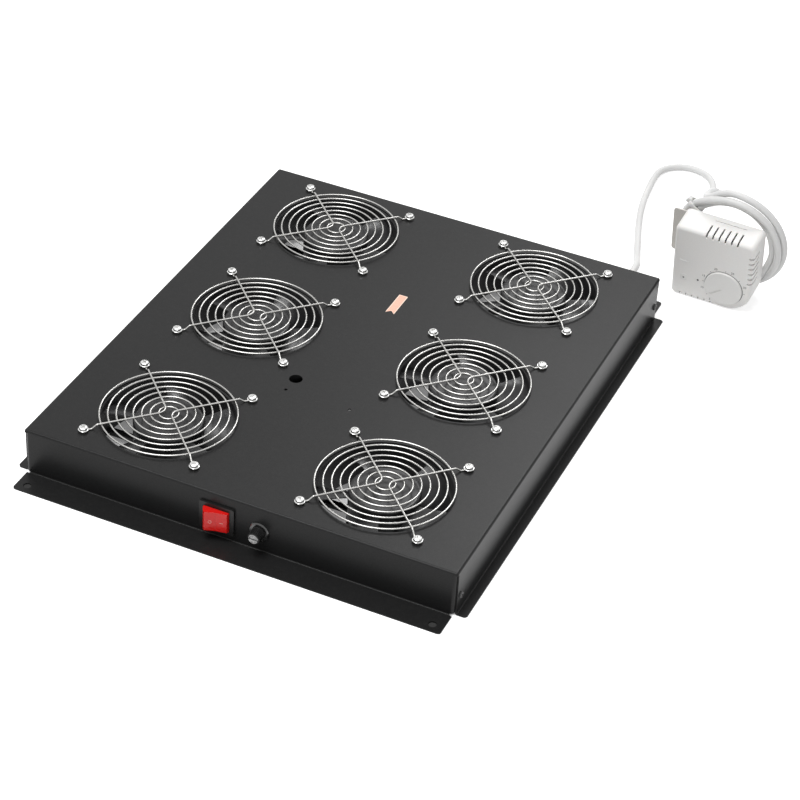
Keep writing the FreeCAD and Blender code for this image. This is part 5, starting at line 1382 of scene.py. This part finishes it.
@dataclass
class Fasteners:
    """Every screw of the tray, repeated by one tree."""

    fans: FanBank
    corner: Point = (198.5, 229.0, 17.3)
    inlet: Point = (20.0, 240.7, 21.3)
    bracket_x: float = 19.75
    bracket_y: float = 30.5
    bracket_heights: Pair = (41.0, 65.0)

    def build(self, paint: Paintbox) -> None:
        """Grow each set of screws in place of its node."""
        tree = scatter_tree()
        sides = (-1, 1)
        spots = self.fans.holes()
        form = ScrewForm(4.0, 14.0, 7.6, 2.6, washer=9.0, recess=1.5, recess_width=1.1)
        self._set(tree, form, "guard_screw", spots, [Vector((0, 0, 1))] * len(spots),
                  paint["screw_nickel"], Slot.SCREW)
        x, y, z = self.corner
        spots = [Vector((x * side, y * end, z)) for side in sides for end in sides]
        ways = [Vector((side, 0, 0)) for side in sides for _ in sides]
        self._set(tree, ScrewForm(3.0, 6.0, 6.0, 1.8), "corner_screw", spots, ways,
                  paint["black_screw_paint"], Slot.BLACK_SCREW)
        x, y, z = self.inlet
        self._set(tree, ScrewForm(3.0, 8.0, 5.6, 2.0), "inlet_screw",
                  [Vector((x * side, y, z)) for side in sides], [Vector((0, 1, 0))] * 2,
                  paint["black_screw_paint"], Slot.BLACK_SCREW)
        spots = [THERMOSTAT.point(self.bracket_x, self.bracket_y, height)
                 for height in self.bracket_heights]
        back = THERMOSTAT.matrix().to_3x3() @ Vector((0, 1, 0))
        self._set(tree, ScrewForm(3.0, 3.5, 5.6, 1.8, thread_start=3.5), "bracket_screw", spots,
                  [back] * 2, paint["zinc_plate"], Slot.SCREW)

    @staticmethod
    def _set(tree: GeometryTree, form: ScrewForm, name: str, spots: Sequence[Vector],
             ways: Sequence[Vector], finish: bpy.types.Material, slot: Slot) -> None:
        """Grow one set of screws in place of the node that is named after them.

        Args:
            tree: The tree that repeats a fastener.
            form: The screw.
            name: Name of one screw.
            spots: Where each head sits.
            ways: Direction of each head.
            finish: Material of the set.
            slot: Slot of the record.
        """
        template = form.template(f"{name}_form")
        base = point_mesh(f"{name}_points", spots, headings=ways)
        mesh = tree.grow(f"{name}_set", base, finish, Fastener=template)
        bpy.data.objects.remove(template)
        smooth_by_angle(mesh, 34.0)
        settle(new_object(f"{name}_set", mesh), slot, nodes=[f"{name}s"])


@dataclass
class FrontPanel:
    """Marks of the rocker, and the fluted cap of the fuse holder."""

    rocker_pivot: Point = (-15.3, -239.0, 21.3)
    rocker_turn: float = 15.5
    rocker_radius: float = 11.75
    rocker_angle: float = 35.5
    valley: float = 0.9
    mark_height: float = -0.5
    ring_radii: Pair = (1.1, 1.5)
    bar_half: Pair = (1.6, 0.25)
    print_low: float = -0.02
    print_high: float = 0.05
    fuse: Point = (23.2, -238.2, 20.8)
    face: float = 2.2
    reach: float = 9.4
    grip: float = 6.2
    end: float = 5.4
    skin: float = 0.35
    plate: float = 4.5
    plug: float = 5.75
    plug_length: float = 9.0
    flutes: int = 24
    slot_half: Pair = (6.0, 0.6)
    slot_depth: float = 0.9

    def build(self, paint: Paintbox) -> None:
        """Make the marks and the cap."""
        self._marks(paint["printed_pink"])
        outward = Matrix.Translation(self.fuse) @ Matrix.Rotation(math.radians(90), 4, "X")
        self._cap(paint["switch_black"], outward)
        self._slotted_end(paint["cap_chrome_painted_reflections"], outward)

    def _rocker_face(self, side: int) -> Matrix:
        """Give the placement of one half of the rocker's face: x outwards, z out of the face."""
        angle = math.radians(self.rocker_angle)
        out = self.rocker_radius * math.sin(angle)
        outer = Vector((side * self.rocker_radius * math.cos(angle), -out, 0))
        inner = Vector((0, -(out - self.valley), 0))
        along, up = (outer - inner).normalized() * side, Vector((0, 0, 1))
        local = Matrix((along, up, along.cross(up))).transposed().to_4x4()
        local.translation = (outer + inner) / 2
        tilt = Matrix.Rotation(math.radians(self.rocker_turn), 4, "Z")
        return Matrix.Translation(self.rocker_pivot) @ tilt @ local

    def _marks(self, finish: bpy.types.Material) -> None:
        """Print the two plain marks of the rocker: a ring and a bar."""
        shift = Matrix.Translation((0.0, self.mark_height, 0.0))
        low, high = self.print_low, self.print_high
        (inner, outer), (across, along) = self.ring_radii, self.bar_half
        ring = [(inner, low), (outer, low), (outer, high), (inner, high), (inner, low)]
        bar = box_outline((-across, -along), (across, along))
        for name, side, shape in (("rocker_off_mark", -1, Shape().lathe(ring, 32)),
                                  ("rocker_on_mark", 1, Shape().prism(bar, low, high))):
            shape.settle(name, finish, Slot.ROCKER, self._rocker_face(side) @ shift,
                         body="rocker_body")

    def _cap(self, finish: bpy.types.Material, outward: Matrix) -> None:
        """Turn the cap and flute its grip.

        Args:
            finish: Material of the cap.
            outward: Placement of the cap's axis.
        """
        face, plug, top = self.face, self.plug, self.face + self.reach
        low = face - self.plug_length
        profile = [
            (0.0, face), (2.6, face), (2.6, low), (plug, low), (plug, face),
            (self.grip - 0.3, face), (self.grip - self.skin, face + 0.4),
            (self.end - self.skin, top - 0.9), (self.plate, top - 0.6), (self.plate, top - 1.2),
            (0.0, top - 1.2),
        ]
        Shape().lathe(profile, 48).settle("fuse_cap_turned", finish, Slot.BLACK_PLASTIC, outward,
                                          body="fuse_cap_body", nodes=["fuse_cap"])
        rib = Shape().prism([(-0.5, -0.28), (0.0, -0.34), (0.35, -0.12), (0.35, 0.12), (0.0, 0.34),
                             (-0.5, 0.28)], 0.0, self.reach - 2.2)
        lean = math.atan2(self.grip - self.end, self.reach)
        rib.mesh.transform(Matrix.Rotation(-lean, 4, "Y"))
        ribs = repeat_round("fuse_cap_flutes", rib, finish,
                            outward @ Matrix.Translation((0, 0, face + 0.8)), Count=self.flutes,
                            Step=math.tau / self.flutes, Radius=(self.grip - self.skin) * MM)
        smooth_by_angle(ribs)
        settle(new_object("fuse_cap_flutes", ribs), Slot.BLACK_PLASTIC, body="fuse_cap_body")

    def _slotted_end(self, finish: bpy.types.Material, outward: Matrix) -> None:
        """Set the bright disc with its screwdriver slot into the cap's end.

        Args:
            finish: Material of the disc.
            outward: Placement of the cap's axis.
        """
        rim, top = self.plate - 0.02, self.face + self.reach
        disc = [(0.0, -1.3), (rim, -1.3), (rim, -0.3), (rim - 0.3, 0.0), (rim - 0.9, 0.0),
                (rim - 1.3, -0.35), (1.4, -0.35), (1.1, -0.05), (0.0, -0.05)]
        turned = Shape().lathe([(radius, top + drop) for radius, drop in disc], 40)
        across, along = self.slot_half
        slot = Shape().prism(box_outline((-across, -along), (across, along)),
                             top - self.slot_depth, top + 1)
        mesh = cut_mesh("fuse_cap_end", turned.to_mesh("fuse_cap_end", finish),
                        slot.to_mesh("fuse_cap_slot"))
        mesh.transform(in_metres(outward))
        smooth_by_angle(mesh)
        settle(new_object("fuse_cap_end", mesh), Slot.SCREW, body="fuse_cap_body")


@dataclass
class PlateLabel:
    """The bare salmon label on the plate, notched at its front end."""

    x: float = 0.3
    low: float = 64.4
    high: float = 95.4
    width: float = 8.4
    notch: float = 4.0
    thickness: float = 0.12
    border: float = 0.7

    def build(self, paint: Paintbox) -> None:
        """Cut the label and its raised middle."""
        for name, inset, lift, finish in (("label_border", 0.0, 0.0, "label_edge"),
                                          ("label_middle", self.border, 0.05, "salmon_label")):
            half = self.width / 2 - inset
            low, high = self.low + inset, self.high - inset
            outline = [(self.x - half, low), (self.x, low + self.notch), (self.x + half, low),
                       (self.x + half, high), (self.x - half, high)]
            base = PLATE_TOP + lift
            Shape().prism(outline, base - 0.02, base + self.thickness).settle(
                name, paint[finish], Slot.TRAY)


@dataclass
class ThermostatFace:
    """Print, relief and a painted shadow ring on the thermostat's front, placed from its lower left
    corner.
    """

    dial: Pair = (52.3, 25.0)
    number_radius: float = 22.2
    number_angles: tuple[float, ...] = (235.6, 198.0, 159.0, 114.6, 70.0, 22.0)
    number_step: int = 5
    number_height: float = 2.4
    tick_radius: float = 20.6
    tick_length: float = 1.6
    tick_half: float = 0.16
    tick_step: float = 44.0
    print_depth: float = 0.08
    print_lift: float = 0.02
    # radii of the painted shadow ring round the dial
    shadow_ring_radii: Pair = (18.75, 19.30)
    lens: Pair = (26.3, 25.2)
    square: Pair = (11.7, 23.8)
    square_half: float = 3.4
    dot: Pair = (11.9, 23.4)
    line: Pair = (11.5, 43.7)
    line_half: Pair = (4.75, 0.3)

    @staticmethod
    def face(x: float, z: float, lift: float = 0.0) -> Matrix:
        """Give a placement on the front, lifted off it: x right, y up and z out of the face."""
        return (THERMOSTAT.matrix() @ Matrix.Translation((x, -lift, z))
                @ Matrix.Rotation(math.radians(90), 4, "X"))

    def build(self, paint: Paintbox) -> None:
        """Print the scale, and add the small relief and the painted shadow ring round the dial."""
        self._scale(paint["grey_print_and_painted_shadow"])
        self._relief_and_shadow_ring(paint)

    def _scale(self, finish: bpy.types.Material) -> None:
        """Print plain numbers round the dial, and a tick between each two of them."""
        for count, angle in enumerate(self.number_angles, 1):
            text = str(count * self.number_step)
            turn = math.radians(angle)
            x = self.dial[0] + self.number_radius * math.cos(turn)
            z = self.dial[1] + self.number_radius * math.sin(turn)
            word_shape(text, self.number_height, self.print_depth).settle(
                f"scale_number_{text}", finish, Slot.WHITE_PLASTIC,
                self.face(x, z, self.print_lift))
        outline = box_outline((0.0, -self.tick_half), (self.tick_length, self.tick_half))
        tick = Shape().prism(outline, 0.0, self.print_depth)
        mesh = repeat_round("scale_ticks", tick, finish, self.face(*self.dial),
                            Count=len(self.number_angles), Step=math.radians(self.tick_step),
                            Radius=(self.tick_radius - self.tick_length / 2) * MM)
        settle(new_object("scale_ticks", mesh), Slot.WHITE_PLASTIC)

    def _relief_and_shadow_ring(self, paint: Paintbox) -> None:
        """Add a painted shadow ring round the dial, grey print that stands in for the shade in the
        gap there, and the lamp lens, the blank square and the short raised line.
        """
        inner, outer = self.shadow_ring_radii
        ring = [(inner, 0.0), (outer, 0.0), (outer, 0.05), (inner, 0.05), (inner, 0.0)]
        lens = [(0.0, -0.1), (0.95, -0.1), (0.95, 0.15), (0.6, 0.35), (0.0, 0.4)]
        dot = [(0.0, 0.08), (0.9, 0.08), (0.9, 0.16), (0.0, 0.16)]
        half, (across, along) = self.square_half, self.line_half
        blank = rounded_corners((-half, -half), (half, half), 0.6, 3)
        bar = rounded_corners((-across, -along), (across, along), 0.25, 3)
        square, line = Shape().prism(blank, -0.05, 0.10), Shape().prism(bar, -0.05, 0.28)
        for name, shape, finish, spot, lift in (
                # painted shadow: a thin grey ring printed round the dial where the gap's shade
                # falls
                ("dial_gap", Shape().lathe(ring, 72), "grey_print_and_painted_shadow", self.dial, self.print_lift),
                ("lamp_lens", Shape().lathe(lens, 24), "shadow_black", self.lens, 0.0),
                ("blank_square", square.bevel(0.06), "dial_white", self.square, 0.0),
                ("square_dot", Shape().lathe(dot, 20), "grey_print_and_painted_shadow", self.dot, 0.0),
                ("raised_line", line.bevel(0.1), "thermostat_white", self.line, 0.0)):
            shape.settle(name, paint[finish], Slot.WHITE_PLASTIC, self.face(*spot, lift))


def main() -> None:
    """Load the frame, dress it and set up the studio."""
    logging.basicConfig(level=logging.INFO, format="%(message)s")
    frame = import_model()
    Studio().build()
    paint = mix_paints()
    ThermostatCord().build(paint)
    finish_nodes(frame["nodes"], paint)
    fans = FanBank()
    fans.build(paint)
    Fasteners(fans).build(paint)
    FrontPanel().build(paint)
    PlateLabel().build(paint)
    ThermostatFace().build(paint)


if __name__ == "__main__":
    main()
